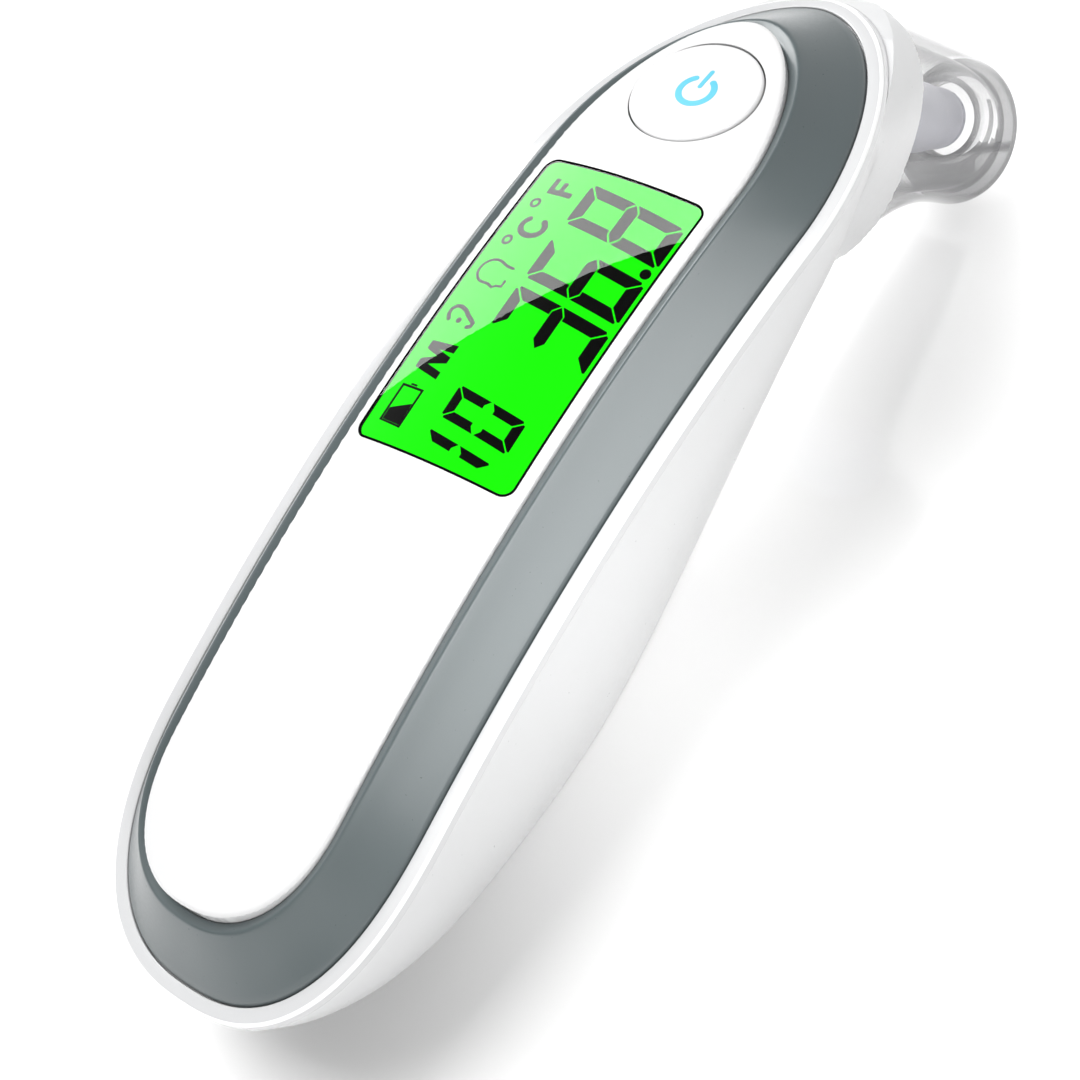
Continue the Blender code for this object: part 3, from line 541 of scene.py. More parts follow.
def window_outline(inset, steps=10):
    """Rounded window; its two ends carry points between the corners, to follow the crown."""
    hx = LCD_HALF_WIDTH - inset
    low, high = LCD_Y[0] + inset, LCD_Y[1] - inset
    radius = WINDOW_CORNER - inset
    points = []
    for cx, cy, start in ((1, 1, 0), (-1, 1, 90), (-1, -1, 180), (1, -1, 270)):
        ox = cx * (hx - radius)
        oy = (high - radius) if cy > 0 else (low + radius)
        for k in range(steps + 1):
            angle = math.radians(start + 90 * k / steps)
            points.append((ox + radius * math.cos(angle), oy + radius * math.sin(angle)))
        if start in (0, 180):
            y = high if cy > 0 else low
            points += [(ox * (1 - k / 6), y) for k in range(1, 12)]
    return points


def raised(name, bm, height, low, high):
    """Makes a flat sheet a thin solid that follows height(x, y), from low to high above it."""
    for f in bm.faces:
        if f.normal.z < 0:
            f.normal_flip()
    made = bmesh.ops.extrude_face_region(bm, geom=bm.faces[:])
    upper = {g for g in made["geom"] if isinstance(g, bmesh.types.BMVert)}
    for v in bm.verts:
        v.co.z = height(v.co.x, v.co.y) + (high if v in upper else low)
        v.co = world(v.co)
    bmesh.ops.recalc_face_normals(bm, faces=bm.faces)
    mesh = bpy.data.meshes.new(name)
    bm.to_mesh(mesh)
    bm.free()
    return linked(name, mesh)


def conform(name, shapes, top, thick, cell=(0.8, 1.6)):
    """Flat (x, y) outlines laid on the crowned panel as thin solids, cut by a grid to follow it.
    A shape is a list of points, or a pair (outer, inner) for a ring."""
    bm = bmesh.new()
    for shape in shapes:
        if isinstance(shape, tuple):
            outer, inner = ([bm.verts.new((x, y, 0.0)) for x, y in loop] for loop in shape)
            for i in range(len(outer)):
                j = (i + 1) % len(outer)
                bm.faces.new((outer[i], outer[j], inner[j], inner[i]))
        else:
            bm.faces.new([bm.verts.new((x, y, 0.0)) for x, y in shape])
    xs = [v.co.x for v in bm.verts]
    ys = [v.co.y for v in bm.verts]
    for axis, low, high, step in ((0, min(xs), max(xs), cell[0]), (1, min(ys), max(ys), cell[1])):
        k = math.floor(low / step) + 1
        while k * step < high:
            at = [0.0, 0.0, 0.0]
            at[axis] = k * step + GRID_OFFSET
            normal = [0.0, 0.0, 0.0]
            normal[axis] = 1.0
            everything = bm.verts[:] + bm.edges[:] + bm.faces[:]
            bmesh.ops.bisect_plane(bm, geom=everything, plane_co=at, plane_no=normal)
            k += 1
    bmesh.ops.remove_doubles(bm, verts=bm.verts, dist=1e-5)
    bmesh.ops.recalc_face_normals(bm, faces=bm.faces)
    obj = raised(name, bm, panel_height, top - thick, top)
    shade(obj, 30.0)
    return obj


def lens_sheet(name, inset, top, thick):
    """A sheet that fills the window, following the panel's crown."""
    return conform(name, [window_outline(inset)], top, thick, (0.45, 1.0))


# ---- the display's figures: u runs along +y, v is "up", toward -x
def uv(points):
    return [(-v, u) for u, v in points]


def skewed(points, slant):
    return [(u + slant * v, v) for u, v in points]


def seven(u, v, width, height, bar_v, bar_h, segments, slant, gap=0.15, corner=0.5):
    """Seven-segment digit; (u, v) is its lower left corner."""
    w, h, a, b, g, k = width, height, bar_v, bar_h, gap, corner
    m = h / 2
    q = b / 2
    upper = {
        "a": [(k, h), (w - k, h), (w - k / 2 - g, h - k / 2), (w - a - g, h - b), (a + g, h - b),
              (k / 2 + g, h - k / 2)],
        "f": [(0, h - k), (k / 2, h - k / 2 - g), (a, h - b - g), (a, m + q + g), (a * 0.62, m + q + g),
              (0, m + g)],
        "g": [(g, m), (a * 0.62 + g, m + q), (w - a * 0.62 - g, m + q), (w - g, m),
              (w - a * 0.62 - g, m - q), (a * 0.62 + g, m - q)],
    }
    shapes = dict(upper)
    shapes["b"] = [(w - p, r) for p, r in upper["f"]]
    shapes["d"] = [(p, h - r) for p, r in upper["a"]]
    shapes["e"] = [(p, h - r) for p, r in upper["f"]]
    shapes["c"] = [(w - p, h - r) for p, r in upper["f"]]
    return [uv([(u + p, v + r) for p, r in skewed(shapes[name], slant)]) for name in segments]


def stroke(points, width, steps=6):
    """Closed outline of a thick line with round ends through points."""
    left, right = [], []
    pts = [Vector(p) for p in points]
    r = width / 2
    for i, p in enumerate(pts):
        a = pts[max(i - 1, 0)]
        b = pts[min(i + 1, len(pts) - 1)]
        d = (b - a).normalized()
        n = Vector((-d.y, d.x))
        left.append(p + n * r)
        right.append(p - n * r)
    caps = []
    for end, direction in ((pts[-1], (pts[-1] - pts[-2])), (pts[0], (pts[0] - pts[1]))):
        d = direction.normalized()
        n = Vector((-d.y, d.x))
        caps.append([end + n * r * math.cos(math.pi * k / steps) + d * r * math.sin(math.pi * k / steps)
                     for k in range(1, steps)])
    loop = left + caps[0] + right[::-1] + caps[1]
    return [(p.x, p.y) for p in loop]


def arc(cu, cv, ru, rv, start, end, steps=24):
    return [(cu + ru * math.cos(math.radians(start + (end - start) * k / steps)),
             cv + rv * math.sin(math.radians(start + (end - start) * k / steps))) for k in range(steps + 1)]


def ring_shape(cu, cv, outer, inner, steps=28):
    return (uv(arc(cu, cv, outer, outer, 0, 360 - 360 / steps, steps - 1)),
            uv(arc(cu, cv, inner, inner, 0, 360 - 360 / steps, steps - 1)))


def disc_shape(cu, cv, ru, rv, steps=28):
    return uv(arc(cu, cv, ru, rv, 0, 360 - 360 / steps, steps - 1))


def display_shapes():
    s = []
    slant = 0.105
    for at, segments in ((6.6, "abgcd"), (13.5, "afgecd"), (21.4, "abcdefg")):
        s += seven(at, -10.0, 5.8, 13.2, 1.5, 1.55, segments, slant, 0.14)
    s.append(disc_shape(20.4, -9.25, 0.66, 0.62))
    s += seven(-4.66, -7.75, 4.1, 9.6, 1.12, 1.2, "abcdef", slant, 0.13, 0.4)
    s += seven(-10.4, -6.95, 4.1, 9.2, 1.12, 1.2, "bc", slant, 0.13, 0.4)
    # battery: frame, nub and the part still full
    outer = [(-6.6, 5.8), (-1.6, 5.75), (-1.56, 9.0), (-6.42, 9.05)]
    inner = [(-6.33, 6.08), (-1.88, 6.03), (-1.84, 8.72), (-6.2, 8.77)]
    s.append((uv(outer), uv(inner)))
    s.append(uv([(-1.5, 6.95), (-1.28, 6.95), (-1.27, 7.85), (-1.49, 7.85)]))
    s.append(uv([(-6.3, 6.12), (-3.55, 6.1), (-4.75, 8.68), (-6.17, 8.7)]))
    # M
    s.append(uv([(0.0, 5.2), (0.95, 5.2), (1.45, 7.55), (2.15, 5.2), (2.95, 5.2), (3.45, 7.4), (3.5, 5.15),
                 (4.5, 5.1), (4.3, 8.98), (3.15, 8.98), (2.6, 7.0), (1.85, 8.95), (0.7, 8.95)]))
    # ear
    s.append(uv(stroke([(7.3, 8.85), (7.9, 9.3), (8.6, 9.3), (9.1, 8.85), (9.15, 8.2), (8.85, 7.3),
                        (8.3, 6.55), (7.95, 5.9), (7.6, 5.35), (7.15, 5.4), (6.95, 5.8)], 0.6)))
    s.append(disc_shape(7.45, 7.4, 0.4, 0.4))
    # head, a plain outline
    s.append(uv(stroke([(13.6, 5.1), (12.85, 5.1), (12.75, 5.9), (12.4, 6.2), (12.75, 7.0), (12.75, 7.7)]
                       + arc(14.35, 7.75, 1.6, 1.75, 180, -25, 20) + [(15.45, 6.1), (15.4, 5.15)], 0.42)))
    # degrees C and F
    s.append(ring_shape(18.75, 8.7, 0.76, 0.32))
    s.append(uv(stroke(arc(21.15, 6.63, 1.25, 1.6, 42, 318, 30), 0.82)))
    s.append(ring_shape(24.3, 8.63, 0.76, 0.32))
    s.append(uv([(25.85, 4.7), (26.65, 4.7), (26.65, 6.1), (27.85, 6.1), (27.85, 6.82), (26.65, 6.82),
                 (26.65, 7.5), (28.2, 7.5), (28.2, 8.24), (25.85, 8.24)]))
    return s


def make_button():
    """Round key: a soft dome whose rim follows the face, and a straight skirt."""
    slope = BUTTON_Y / FACE_RADIUS
    top = face_height(BUTTON_Y) + PANEL_CROWN
    rings = []
    profile = [(BUTTON_RADIUS - 1.2, -3.0, 0), (BUTTON_RADIUS, -3.0, 0), (BUTTON_RADIUS, -1.6, 0.6)]
    for k in range(9):
        angle = math.pi / 2 * k / 8
        radius = BUTTON_RADIUS - KEY_EDGE * (1 - math.cos(angle))
        profile.append((radius, -0.44 + KEY_EDGE * math.sin(angle), 1))
    for k in range(1, 14):
        radius = (BUTTON_RADIUS - KEY_EDGE) * (1 - k / 14)
        profile.append((radius, -KEY_SINK + KEY_CROWN * (1 - (radius / BUTTON_RADIUS) ** 2), 1))
    for radius, height, follow in profile:
        rings.append([(x, BUTTON_Y + y, top + height - slope * y * follow) for x, y in circle(radius, 128)])
    poles = [(0.0, BUTTON_Y, top - 3.0), (0.0, BUTTON_Y, top + KEY_CROWN - KEY_SINK)]
    return loft("key", rings, poles, smooth=50.0)


def key_height(x, y):
    slope = BUTTON_Y / FACE_RADIUS
    top = face_height(BUTTON_Y) + PANEL_CROWN
    r2 = (x * x + (y - BUTTON_Y) ** 2) / BUTTON_RADIUS ** 2
    return top - KEY_SINK + KEY_CROWN * (1 - r2) - slope * (y - BUTTON_Y)


def make_symbol():
    """Power symbol printed on the key: an open ring and a bar, a thin raised layer of ink."""
    shapes = [stroke(arc(44.3, -0.45, 2.05, 2.05, 35, 325, 48), 0.78, 8),
              stroke([(44.95, -0.5), (45.8, -0.5), (46.6, -0.5), (47.45, -0.5)], 0.55, 8)]
    bm = bmesh.new()
    for shape in shapes:
        bm.faces.new([bm.verts.new((x, y, 0.0)) for x, y in uv(shape)])
    bmesh.ops.triangulate(bm, faces=bm.faces)
    return raised("power_symbol", bm, key_height, -0.08, 0.025)


# ---------------------------------------------------------------- probe and cap
def cap_ring(share, inset):
    """The cap's outline, at a share of the way from the head to its end."""
    mix = {}
    for key, power in (("half", 1.5), ("tip", 1.0), ("heel", 2.6), ("power", 1.0), ("offset", 1.0)):
        mix[key] = CAP_OVAL[key] + (CAP_BASE[key] - CAP_OVAL[key]) * (1 - share) ** power
    along = HEAD_END + 0.1 + (CAP_END - HEAD_END - 0.1) * share
    return oval(mix, along, inset, CAP_SIDES)


def hole_ring(depth, inset):
    return oval(CAP_HOLE, CAP_END - depth, inset, CAP_SIDES)


def between(a_ring, b_ring, share):
    return [tuple(Vector(a).lerp(Vector(b), share)) for a, b in zip(a_ring, b_ring)]


def make_cap():
    """Clear cup: flared wall, dished end and the short tube of its hole, then back up the inside."""
    steps = [i / 36 for i in range(35)]
    loops = [cap_ring(0.0, 0.35), cap_ring(0.004, 0.1)]
    loops += [cap_ring(s, 0.0) for s in steps[1:]]
    for k in range(1, 9):
        angle = math.pi / 2 * k / 8
        loops.append(cap_ring(1 - 0.035 * (1 - math.sin(angle)), 1.3 * (1 - math.cos(angle))))
    loops.append(cap_ring(1.0, 1.9))
    rim = cap_ring(1.0, 2.2)
    mouth = hole_ring(CAP_DISH, 0.0)
    for k in range(1, 8):
        t = k / 8
        lift = AXIS * (CAP_DISH * (t - 1 + math.cos(t * math.pi / 2))) * 0.9
        loops.append([tuple(Vector(p) + lift) for p in between(rim, mouth, t)])
    loops.append(mouth)
    for depth, inset in ((2.7, -0.02), (6.0, 0.0), (6.15, -0.15), (6.2, -0.4), (6.15, -0.75), (6.0, -0.9),
                         (4.1, -0.9), (3.8, -1.1)):
        loops.append(hole_ring(depth, inset))
    inner_end = cap_ring(0.958, 2.4)
    start = hole_ring(3.75, -1.5)
    loops += [between(start, inner_end, k / 5) for k in range(1, 5)]
    loops += [cap_ring(0.955, 1.9), cap_ring(0.94, CAP_WALL)]
    loops += [cap_ring(s, CAP_WALL) for s in reversed(steps[:-1])]
    return hoop("cap", loops, smooth=60.0)


def make_probe():
    cone = [(3.05, 46.6), (3.95, 46.6), (4.14, 46.4), (4.2, 44.5), (4.3, 41.7), (4.36, 41.5), (4.58, 41.35),
            (4.66, 41.0), (4.75, 38.0), (4.9, 34.0), (5.1, 30.0), (5.38, 26.5), (5.8, 22.8), (6.3, 19.6),
            (6.75, 17.6), (6.8, 17.2), (6.8, 12.6), (8.4, 12.6), (8.4, 11.0), (5.0, 11.0), (4.4, 22.0),
            (3.7, 30.0), (3.05, 41.0)]
    body = lathe("probe", rounded(cone, 0.25, 3))
    ring = [(2.0, 48.0), (3.6, 48.0), (4.0, 47.6), (4.0, 46.75), (2.75, 46.75), (2.75, 44.5), (2.0, 44.5)]
    tip = lathe("probe_tip", rounded(ring, 0.25, 5))
    return body, tip


# ---------------------------------------------------------------- materials
def nodes_of(name):
    mat = bpy.data.materials.new(name)
    mat.use_nodes = True
    tree = mat.node_tree
    return mat, tree, tree.nodes["Principled BSDF"]


def object_noise(tree, scale, detail=2.0):
    """Noise that stays fixed to the piece."""
    coord = tree.nodes.new("ShaderNodeTexCoord")
    noise = tree.nodes.new("ShaderNodeTexNoise")
    noise.inputs["Scale"].default_value = scale
    noise.inputs["Detail"].default_value = detail
    tree.links.new(coord.outputs["Object"], noise.inputs["Vector"])
    return noise.outputs["Fac"]


def spread_out(tree, value, low, high):
    """The value, which runs from 0 to 1, spread from low to high."""
    span = tree.nodes.new("ShaderNodeMapRange")
    span.inputs["To Min"].default_value = low
    span.inputs["To Max"].default_value = high
    tree.links.new(value, span.inputs["Value"])
    return span.outputs["Result"]


def scaled_colour(tree, colour, level, socket):
    """Sends the colour, made brighter or darker by the level, into a shader's socket."""
    tint = tree.nodes.new("ShaderNodeVectorMath")
    tint.operation = "SCALE"
    tint.inputs[0].default_value = colour
    tree.links.new(level, tint.inputs["Scale"])
    tree.links.new(tint.outputs["Vector"], socket)


def combined(tree, operation, values, clamp=False):
    """A math node's result; each value is a number or another node's output."""
    node = tree.nodes.new("ShaderNodeMath")
    node.operation = operation
    node.use_clamp = clamp
    for value, socket in zip(values, node.inputs):
        if isinstance(value, float):
            socket.default_value = value
        else:
            tree.links.new(value, socket)
    return node.outputs["Value"]


def speckled(name, colour, roughness, spread=0.03, grain=0.0, scale=900.0, metallic=0.0, coat=0.0,
             rough_spread=0.05, coat_roughness=0.08, ior=1.5):
    """Moulded plastic or metal: faint colour and gloss variation, and a fine texture."""
    mat, tree, shader = nodes_of(name)
    broad = object_noise(tree, 40.0, 3.0)
    fine = object_noise(tree, scale)
    level = spread_out(tree, broad, 1.0 - spread, 1.0 + spread)
    scaled_colour(tree, colour, level, shader.inputs["Base Color"])
    rough = spread_out(tree, fine, max(roughness - rough_spread, 0.02), roughness + rough_spread)
    tree.links.new(rough, shader.inputs["Roughness"])
    if grain:
        bump = tree.nodes.new("ShaderNodeBump")
        bump.inputs["Strength"].default_value = grain
        bump.inputs["Distance"].default_value = 0.00002
        tree.links.new(fine, bump.inputs["Height"])
        tree.links.new(bump.outputs["Normal"], shader.inputs["Normal"])
    shader.inputs["Metallic"].default_value = metallic
    shader.inputs["Coat Weight"].default_value = coat
    shader.inputs["Coat Roughness"].default_value = coat_roughness
    shader.inputs["IOR"].default_value = ior
    return mat


def matt(mat):
    """Takes the mirror reflection off a material."""
    mat.node_tree.nodes["Principled BSDF"].inputs["Specular IOR Level"].default_value = 0.0
    return mat


def clear(name, colour, roughness, ior):
    mat, tree, shader = nodes_of(name)
    shader.inputs["Base Color"].default_value = (*colour, 1.0)
    shader.inputs["Transmission Weight"].default_value = 1.0
    shader.inputs["IOR"].default_value = ior
    rough = spread_out(tree, object_noise(tree, 120.0), roughness, roughness + 0.01)
    tree.links.new(rough, shader.inputs["Roughness"])
    return mat


def thin_clear(name, straight, edge, colour, painted_bands):
    """Clear moulded plastic with painted shade: nearly nothing seen square on, and a painted grey line seen
    edge on that stands for the glass's reflections.
    Painted bands are dark reflection bands painted across the cap: (place in mm down its end, half width,
    strength)."""
    mat, tree, shader = nodes_of(name)
    facing = tree.nodes.new("ShaderNodeLayerWeight")
    facing.inputs["Blend"].default_value = 0.5
    ramp = tree.nodes.new("ShaderNodeValToRGB")
    near_edge = straight + 0.4 * (edge - straight)
    stops = ((0.0, straight), (0.6, straight * 1.2), (0.78, near_edge), (0.92, edge))
    ramp.color_ramp.elements[0].position = stops[0][0]
    ramp.color_ramp.elements[1].position = stops[-1][0]
    for place, shade_level in stops[1:-1]:
        ramp.color_ramp.elements.new(place)
    for element, (place, shade_level) in zip(ramp.color_ramp.elements, stops):
        element.color = (shade_level, shade_level, shade_level, 1.0)
    tree.links.new(facing.outputs["Facing"], ramp.inputs["Fac"])
    coord = tree.nodes.new("ShaderNodeTexCoord")
    across = tree.nodes.new("ShaderNodeVectorMath")
    across.operation = "DOT_PRODUCT"
    tree.links.new(coord.outputs["Object"], across.inputs[0])
    axis = (TURN @ (Vector((0.345, 0, 0)) - 0.93 * TOWARD_TIP)) / (0.992 * MM)
    across.inputs[1].default_value = axis
    level = ramp.outputs["Color"]
    for place, half, strength in painted_bands:
        centre = axis.dot(probe_place((0.0, 0.0, CAP_END))) + place
        off = combined(tree, "SUBTRACT", (across.outputs["Value"], centre))
        fall = tree.nodes.new("ShaderNodeMapRange")
        fall.interpolation_type = "SMOOTHSTEP"
        fall.inputs["From Max"].default_value = half
        fall.inputs["To Min"].default_value = strength
        fall.inputs["To Max"].default_value = 0.0
        tree.links.new(combined(tree, "ABSOLUTE", (off,)), fall.inputs["Value"])
        level = combined(tree, "ADD", (level, fall.outputs["Result"]), True)
    path = tree.nodes.new("ShaderNodeLightPath")
    lit = combined(tree, "SUBTRACT", (level, path.outputs["Is Shadow Ray"]), True)
    tree.links.new(lit, shader.inputs["Alpha"])
    vary = spread_out(tree, object_noise(tree, 90.0), 0.85, 1.15)
    scaled_colour(tree, colour, vary, shader.inputs["Base Color"])
    shader.inputs["Roughness"].default_value = 0.04
    shader.inputs["IOR"].default_value = 1.5
    return mat


def glowing(name, colour, strength):
    """Lit display film: even light with the faint mottling of the diffuser behind it."""
    mat, tree, shader = nodes_of(name)
    level = spread_out(tree, object_noise(tree, 60.0), 0.97, 1.03)
    scaled_colour(tree, colour, level, shader.inputs["Emission Color"])
    shader.inputs["Emission Strength"].default_value = strength
    shader.inputs["Base Color"].default_value = (0.0, 0.05, 0.0, 1.0)
    shader.inputs["Roughness"].default_value = 0.6
    return matt(mat)


def give(obj, mat):
    obj.data.materials.clear()
    obj.data.materials.append(mat)
    return obj


def dress(node, mat):
    """A carried-over CAD node gets its finished material."""
    obj = frame["nodes"][node]
    if not obj.material_slots:
        obj.data.materials.append(mat)
    for slot in obj.material_slots:
        slot.material = mat


def piece(obj, body, replaced, mat):
    give(obj, mat)
    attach(obj, body)
    if replaced:
        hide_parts(*replaced)
    return obj


# The studio light is strong, so the white parts have base colours far below white.
white_shell = speckled("white_shell", (0.39, 0.392, 0.395), 0.3, 0.008, 0.12, 1400.0, coat=0.35)
white_bezel = speckled("white_bezel", (0.345, 0.347, 0.351), 0.22, 0.008, 0.08, 1400.0, coat=1.0)
# A brighter base colour for the rim's rounded outer edge: a painted highlight line along it.
painted_highlight_edge = speckled("painted_highlight_edge", (0.56, 0.562, 0.565), 0.12, 0.006, 0.02, 900.0, coat=1.0,
                         rough_spread=0.02)
white_panel = speckled("white_panel", (0.4, 0.4, 0.402), 0.16, 0.006, 0.03, 900.0, coat=0.5,
                       rough_spread=0.02)
white_key = speckled("white_key", (0.41, 0.41, 0.413), 0.22, 0.006, 0.05, 1100.0, coat=0.4,
                     rough_spread=0.02)
trim_grey = speckled("trim_grey", (0.049, 0.061, 0.0635), 0.3, 0.02, 0.2, 2600.0, coat=0.3,
                     coat_roughness=0.18, ior=1.6)
ink_blue = speckled("ink_blue", (0.05, 0.26, 0.34), 0.4, 0.03, 0.1, 1500.0)
lens_clear = clear("lens_clear", (1.0, 1.0, 1.0), 0.0, 1.35)
border_black = matt(speckled("border_black", (0.002, 0.002, 0.002), 0.5, 0.1, 0.05, 1500.0))
lcd_green = glowing("lcd_green", (0.008, 1.0, 0.0), 1.15)
lcd_dark = matt(speckled("lcd_dark", (0.0018, 0.0014, 0.0022), 0.7, 0.1, 0.0))
# The cap's materials paint its shade: dark reflection bands on its wall and end, a painted grey end, and
# painted dark lines at its edges.
cap_clear = thin_clear("cap_clear", 0.06, 0.9, (0.12, 0.12, 0.125), ((10.9, 0.7, 0.3),))
cap_end_painted_shade = thin_clear("cap_end_painted_shade", 0.64, 0.95, (0.13, 0.13, 0.134), ((4.3, 1.0, 0.3), (10.7, 1.0, 0.3)))
cap_edge_painted_shade = thin_clear("cap_edge_painted_shade", 0.72, 0.95, (0.08, 0.08, 0.083), ())
probe_grey = speckled("probe_grey", (0.36, 0.36, 0.40), 0.32, 0.02, 0.12, 1500.0, coat=0.2)
tip_grey = speckled("tip_grey", (0.3, 0.3, 0.345), 0.28, 0.02, 0.12, 1500.0, coat=0.2)

# ---------------------------------------------------------------- assemble
piece(make_shell(), "device", ("rear_casing",), white_shell)
piece(make_cover(), "cover", ("battery_cover",), white_shell)
bezel = piece(make_bezel(), "device", ("front_bezel",), white_bezel)
# Faces on the rim's rounded outer edge take the brighter colour, a painted highlight line.
bezel.data.materials.append(painted_highlight_edge)
for face in bezel.data.polygons:
    at = to_device(face.center)
    drop = face_height(at.y) - at.z - RIM_DROP
    if 0.05 < drop < 0.6 and abs(at.x) > float(half_width(at.y, TRIM, 1.3)):
        face.material_index = 1
piece(make_trim(), "device", ("trim_ring",), trim_grey)
piece(make_panel(), "device", ("front_panel",), white_panel)
piece(lens_sheet("lens", 0.1, 0.0, 0.35), "device", ("lcd_lens",), lens_clear)
piece(lens_sheet("display_film", 0.1, -0.55, 0.25), "device", ("lcd_glass",), lcd_green)
piece(conform("display_figures", display_shapes(), -0.48, 0.05), "device", (), lcd_dark)
border = conform("lens_border", [(window_outline(0.03), window_outline(0.3))], 0.012, 0.5, (0.45, 1.0))
piece(border, "device", ("lens_seal",), border_black)
piece(make_button(), "button", ("power_button",), white_key)
piece(make_symbol(), "button", (), ink_blue)
cap = piece(make_cap(), "cap", ("clear_cap",), cap_clear)
cap.data.materials.append(cap_end_painted_shade)
cap.data.materials.append(cap_edge_painted_shade)
# The end faces take the painted grey shade and bands; the end's outer rim and the cap's base take the
# painted dark edge lines.
for face in cap.data.polygons:
    at = to_device(face.center) - PROBE_ORIGIN
    along = at.dot(AXIS)
    off_axis = Vector((at.x, at.dot(TOWARD_TIP) - CAP_OVAL["offset"])).length
    if along > CAP_END - 6.4 and abs((TURN.inverted() @ face.normal).dot(AXIS)) > 0.6:
        face.material_index = 1
    if CAP_END - 0.5 < along < CAP_END - 0.06 and off_axis > 8.0 or along < HEAD_END + 0.3:
        face.material_index = 2
probe_body, probe_tip = make_probe()
piece(probe_body, "device", ("probe_cone",), probe_grey)
piece(probe_tip, "device", ("probe_tip_ring",), tip_grey)

steel = speckled("plated_steel", (0.62, 0.62, 0.63), 0.28, 0.04, 0.1, 1800.0, metallic=1.0)
board = speckled("board_green", (0.02, 0.2, 0.08), 0.42, 0.15, 0.2, 700.0, coat=0.4)
dark = speckled("moulded_black", (0.025, 0.025, 0.027), 0.5, 0.1, 0.3, 1500.0)
inner_grey = speckled("moulded_grey", (0.3, 0.31, 0.32), 0.5, 0.05, 0.2, 1500.0)
for name in ("pcb_screw_1", "pcb_screw_2", "case_screw_1", "case_screw_2", "plate_screw_1", "plate_screw_2",
             "contact_bridge", "contact_plus", "contact_minus", "battery_spring_1", "battery_spring_2",
             "tact_switch", "thermopile"):
    dress(name, steel)
for name in ("mcu_chip", "memory_chip", "buzzer", "lcd_frame", "battery_tray", "switch_plunger"):
    dress(name, dark)
dress("main_pcb", board)
dress("chassis", inner_grey)
dress("probe_plate", white_shell)
dress("lcd_backlight", speckled("light_guide", (0.75, 0.9, 0.75), 0.3, 0.02, 0.1, 900.0))
rubber = speckled("striped_rubber", (0.25, 0.25, 0.3), 0.7, 0.2, 0.3, 2500.0)
dress("zebra_strip_1", rubber)
dress("zebra_strip_2", rubber)
wrap = speckled("foil_wrap", (0.3, 0.31, 0.33), 0.3, 0.05, 0.1, 900.0, metallic=0.6, coat=0.3)
dress("battery_1", wrap)
dress("battery_2", wrap)
aluminium = speckled("turned_aluminium", (0.72, 0.72, 0.74), 0.3, 0.05, 0.2, 1200.0, metallic=1.0)
dress("sensor_sleeve", aluminium)
dress("waveguide", speckled("gold_plate", (0.85, 0.6, 0.25), 0.18, 0.05, 0.1, 1200.0, metallic=1.0))
dress("probe_window", speckled("infrared_window", (0.06, 0.05, 0.08), 0.1, 0.1, 0.0, metallic=0.3))
dress("sensor_lead", speckled("lead_grey", (0.1, 0.1, 0.1), 0.5, 0.1, 0.1))
dress("battery_lead_plus", speckled("lead_red", (0.5, 0.02, 0.02), 0.45, 0.1, 0.1))
dress("battery_lead_minus", speckled("lead_black", (0.02, 0.02, 0.02), 0.45, 0.1, 0.1))


# ---------------------------------------------------------------- floor, light and camera
def make_floor():
    r = FLOOR_HALF
    floor = plain_mesh("floor", [(-r, -r, 0), (r, -r, 0), (r, r, 0), (-r, r, 0)], [(0, 1, 2, 3)])
    give(floor, matt(speckled("floor_white", (0.57, 0.57, 0.57), 0.9, 0.004, 0.0, 300.0)))


def facing_quat(place, target):
    """Turn of a light or camera at the place that looks at the target."""
    return (Vector(target) - Vector(place)).to_track_quat("-Z", "Y")


def lamp(name, kind, place, target, power):
    """A light that is itself hidden from the camera and from mirrors."""
    data = bpy.data.lights.new(name, kind)
    data.energy = power
    obj = linked(name, data)
    obj.location = place
    obj.rotation_euler = facing_quat(place, target).to_euler()
    obj.visible_camera = False
    obj.visible_glossy = False
    obj.visible_transmission = False
    return data


def area_light(name, place, target, size, power):
    data = lamp(name, "AREA", place, target, power)
    data.shape = "RECTANGLE"
    data.size, data.size_y = size


def spot_light(name, place, target, angle, power, radius):
    data = lamp(name, "SPOT", place, target, power)
    data.spot_size = math.radians(angle)
    data.spot_blend = 1.0
    data.shadow_soft_size = radius


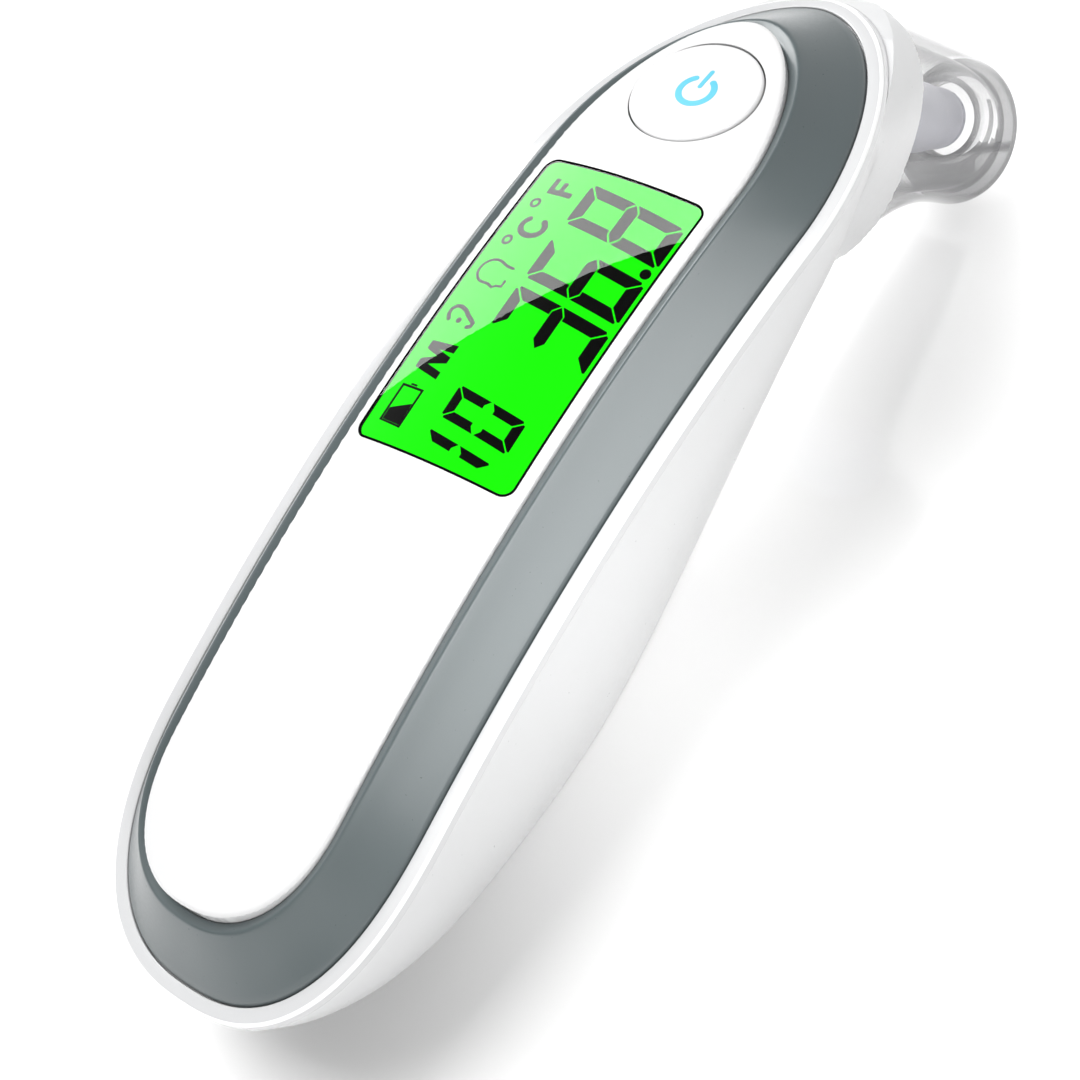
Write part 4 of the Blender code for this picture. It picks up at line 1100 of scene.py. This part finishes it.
def studio():
    """White room: even light for the matt surfaces, a darker one for the glossy ones to mirror."""
    sky = bpy.data.worlds.new("studio")
    bpy.context.scene.world = sky
    sky.use_nodes = True
    tree = sky.node_tree
    back = tree.nodes["Background"]
    back.inputs["Strength"].default_value = 0.66
    mirror = tree.nodes.new("ShaderNodeBackground")
    coord = tree.nodes.new("ShaderNodeTexCoord")
    split = tree.nodes.new("ShaderNodeSeparateXYZ")
    ramp = tree.nodes.new("ShaderNodeValToRGB")
    tree.links.new(coord.outputs["Generated"], split.inputs["Vector"])
    tree.links.new(split.outputs["Z"], ramp.inputs["Fac"])
    ramp.color_ramp.elements[0].position = 0.0
    ramp.color_ramp.elements[0].color = (0.55, 0.55, 0.55, 1.0)
    ramp.color_ramp.elements[1].position = 0.9
    ramp.color_ramp.elements[1].color = (0.12, 0.12, 0.12, 1.0)
    tree.links.new(ramp.outputs["Color"], mirror.inputs["Color"])
    mirror.inputs["Strength"].default_value = 1.0
    back.inputs["Color"].default_value = (1.0, 1.0, 1.0, 1.0)
    mix = tree.nodes.new("ShaderNodeMixShader")
    path = tree.nodes.new("ShaderNodeLightPath")
    out = tree.nodes["World Output"]
    tree.links.new(path.outputs["Is Glossy Ray"], mix.inputs["Fac"])
    tree.links.new(back.outputs["Background"], mix.inputs[1])
    tree.links.new(mirror.outputs["Background"], mix.inputs[2])
    wall = tree.nodes.new("ShaderNodeBackground")
    wall.inputs["Color"].default_value = (0.97, 0.97, 0.97, 1.0)
    seen = tree.nodes.new("ShaderNodeMixShader")
    tree.links.new(path.outputs["Is Camera Ray"], seen.inputs["Fac"])
    tree.links.new(mix.outputs["Shader"], seen.inputs[1])
    tree.links.new(wall.outputs["Background"], seen.inputs[2])
    tree.links.new(seen.outputs["Shader"], out.inputs["Surface"])


def face_normal(x, y):
    """Outward normal of the crowned face in the frame of the table."""
    slope_x = -2 * PANEL_CROWN * x / PANEL["half"] ** 2
    slope_y = -y / FACE_RADIUS
    return (TURN @ Vector((-slope_x, -slope_y, 1.0))).normalized()


def mirrored(x, y, eye, distance):
    """Where a ray from the eye lands after it mirrors off the face at (x, y)."""
    at = world((x, y, panel_height(x, y)))
    ray = (at - eye).normalized()
    normal = face_normal(x, y)
    back = ray - 2 * ray.dot(normal) * normal
    return at + back * distance


def mirror_card(name, verts, faces):
    """A card that only mirrors show; gives its emission node."""
    card = plain_mesh(name, verts, faces)
    mat = bpy.data.materials.new(name)
    mat.use_nodes = True
    tree = mat.node_tree
    tree.nodes.clear()
    glow = tree.nodes.new("ShaderNodeEmission")
    out = tree.nodes.new("ShaderNodeOutputMaterial")
    tree.links.new(glow.outputs["Emission"], out.inputs["Surface"])
    give(card, mat)
    card.visible_camera = False
    card.visible_diffuse = False
    card.visible_transmission = False
    card.visible_shadow = False
    return glow


def glow_card(name, eye, distance, strength):
    """A bright card that lights the display's lens above a slanting line, as the eye sees it."""
    line_x = (-10.84, -7.5, -2.9, 0.2, 4.6, 8.0, 10.84)
    line_y = (-4.4, 1.5, 8.4, 12.75, 18.7, 22.75, 25.8)
    columns, rows = 40, 16
    verts = []
    for i in range(columns + 1):
        x = LCD_HALF_WIDTH * (2 * i / columns - 1)
        low = float(np.interp(x, line_x, line_y))
        for j in range(rows + 1):
            verts.append(mirrored(x, low + (LCD_Y[1] - low) * j / rows, eye, distance))
    faces = []
    for i in range(columns):
        for j in range(rows):
            at = i * (rows + 1) + j
            faces.append((at, at + 1, at + rows + 2, at + rows + 1))
    glow = mirror_card(name, verts, faces)
    tree = glow.id_data
    coord = tree.nodes.new("ShaderNodeTexCoord")
    split = tree.nodes.new("ShaderNodeSeparateXYZ")
    tree.links.new(coord.outputs["Generated"], split.inputs["Vector"])
    tree.links.new(spread_out(tree, split.outputs["X"], *strength), glow.inputs["Strength"])


def soft_box(name, direction, distance, size, strength):
    """A flat card in the given direction from the part; a strength near 0 makes it a dark one."""
    place = Vector(direction).normalized() * distance
    turn = facing_quat(place, (0, 0, 0)).to_matrix()
    wide, high = size[0] / 2, size[1] / 2
    corners = [(-wide, -high, 0), (wide, -high, 0), (wide, high, 0), (-wide, high, 0)]
    glow = mirror_card(name, [place + turn @ Vector(c) for c in corners], [(0, 1, 2, 3)])
    glow.inputs["Strength"].default_value = strength


make_floor()
studio()
area_light("top", (-0.5, 0.0, 1.12), (0, 0, 0), (1.15, 1.15), 34.0)
area_light("right", (0.95, -0.8, 0.34), (0, -0.02, 0.02), (0.5, 0.7), 14.0)
spot_light("side_fill", (0.44, -0.35, 0.72), (0.006, -0.014, 0.0), 5.4, 46.0, 0.03)
spot_light("head_top", (-0.3, 0.7, 0.9), (0.012, 0.058, 0.045), 7.0, 18.0, 0.05)
spot_light("head_floor", (0.5, -0.3, 0.75), (0.012, 0.024, 0.0), 4.4, 17.0, 0.03)
eye = world(CAMERA_PLACE)
glow_card("glare", eye, 0.6, (7.5, 11.0))
soft_box("slope_box", (0.87, 0.1, 0.5), 1.2, (0.8, 0.55), 5.6)
# a dark card, then a narrow bright one, for the ring's lower end
soft_box("end_flag", (-0.106, -0.248, 0.04), 0.273, (0.3, 0.078), 0.03)
soft_box("end_strip", (-0.13, -0.202, 0.04), 0.243, (0.035, 0.075), 1.2)
soft_box("end_side", (-1.0, 0.05, 0.12), 1.2, (0.4, 0.4), 2.2)

camera_data = bpy.data.cameras.new("camera")
camera = linked("camera", camera_data)
camera_data.lens = 72.65
camera_data.sensor_width = 36.0
camera_data.clip_start = 0.01
turn = facing_quat(eye, world(CAMERA_TARGET)).to_matrix() @ Matrix.Rotation(CAMERA_ROLL, 3, "Z")
camera.matrix_world = Matrix.Translation(eye) @ turn.to_4x4()
bpy.context.scene.camera = camera
bpy.context.scene.view_settings.view_transform = "Standard"
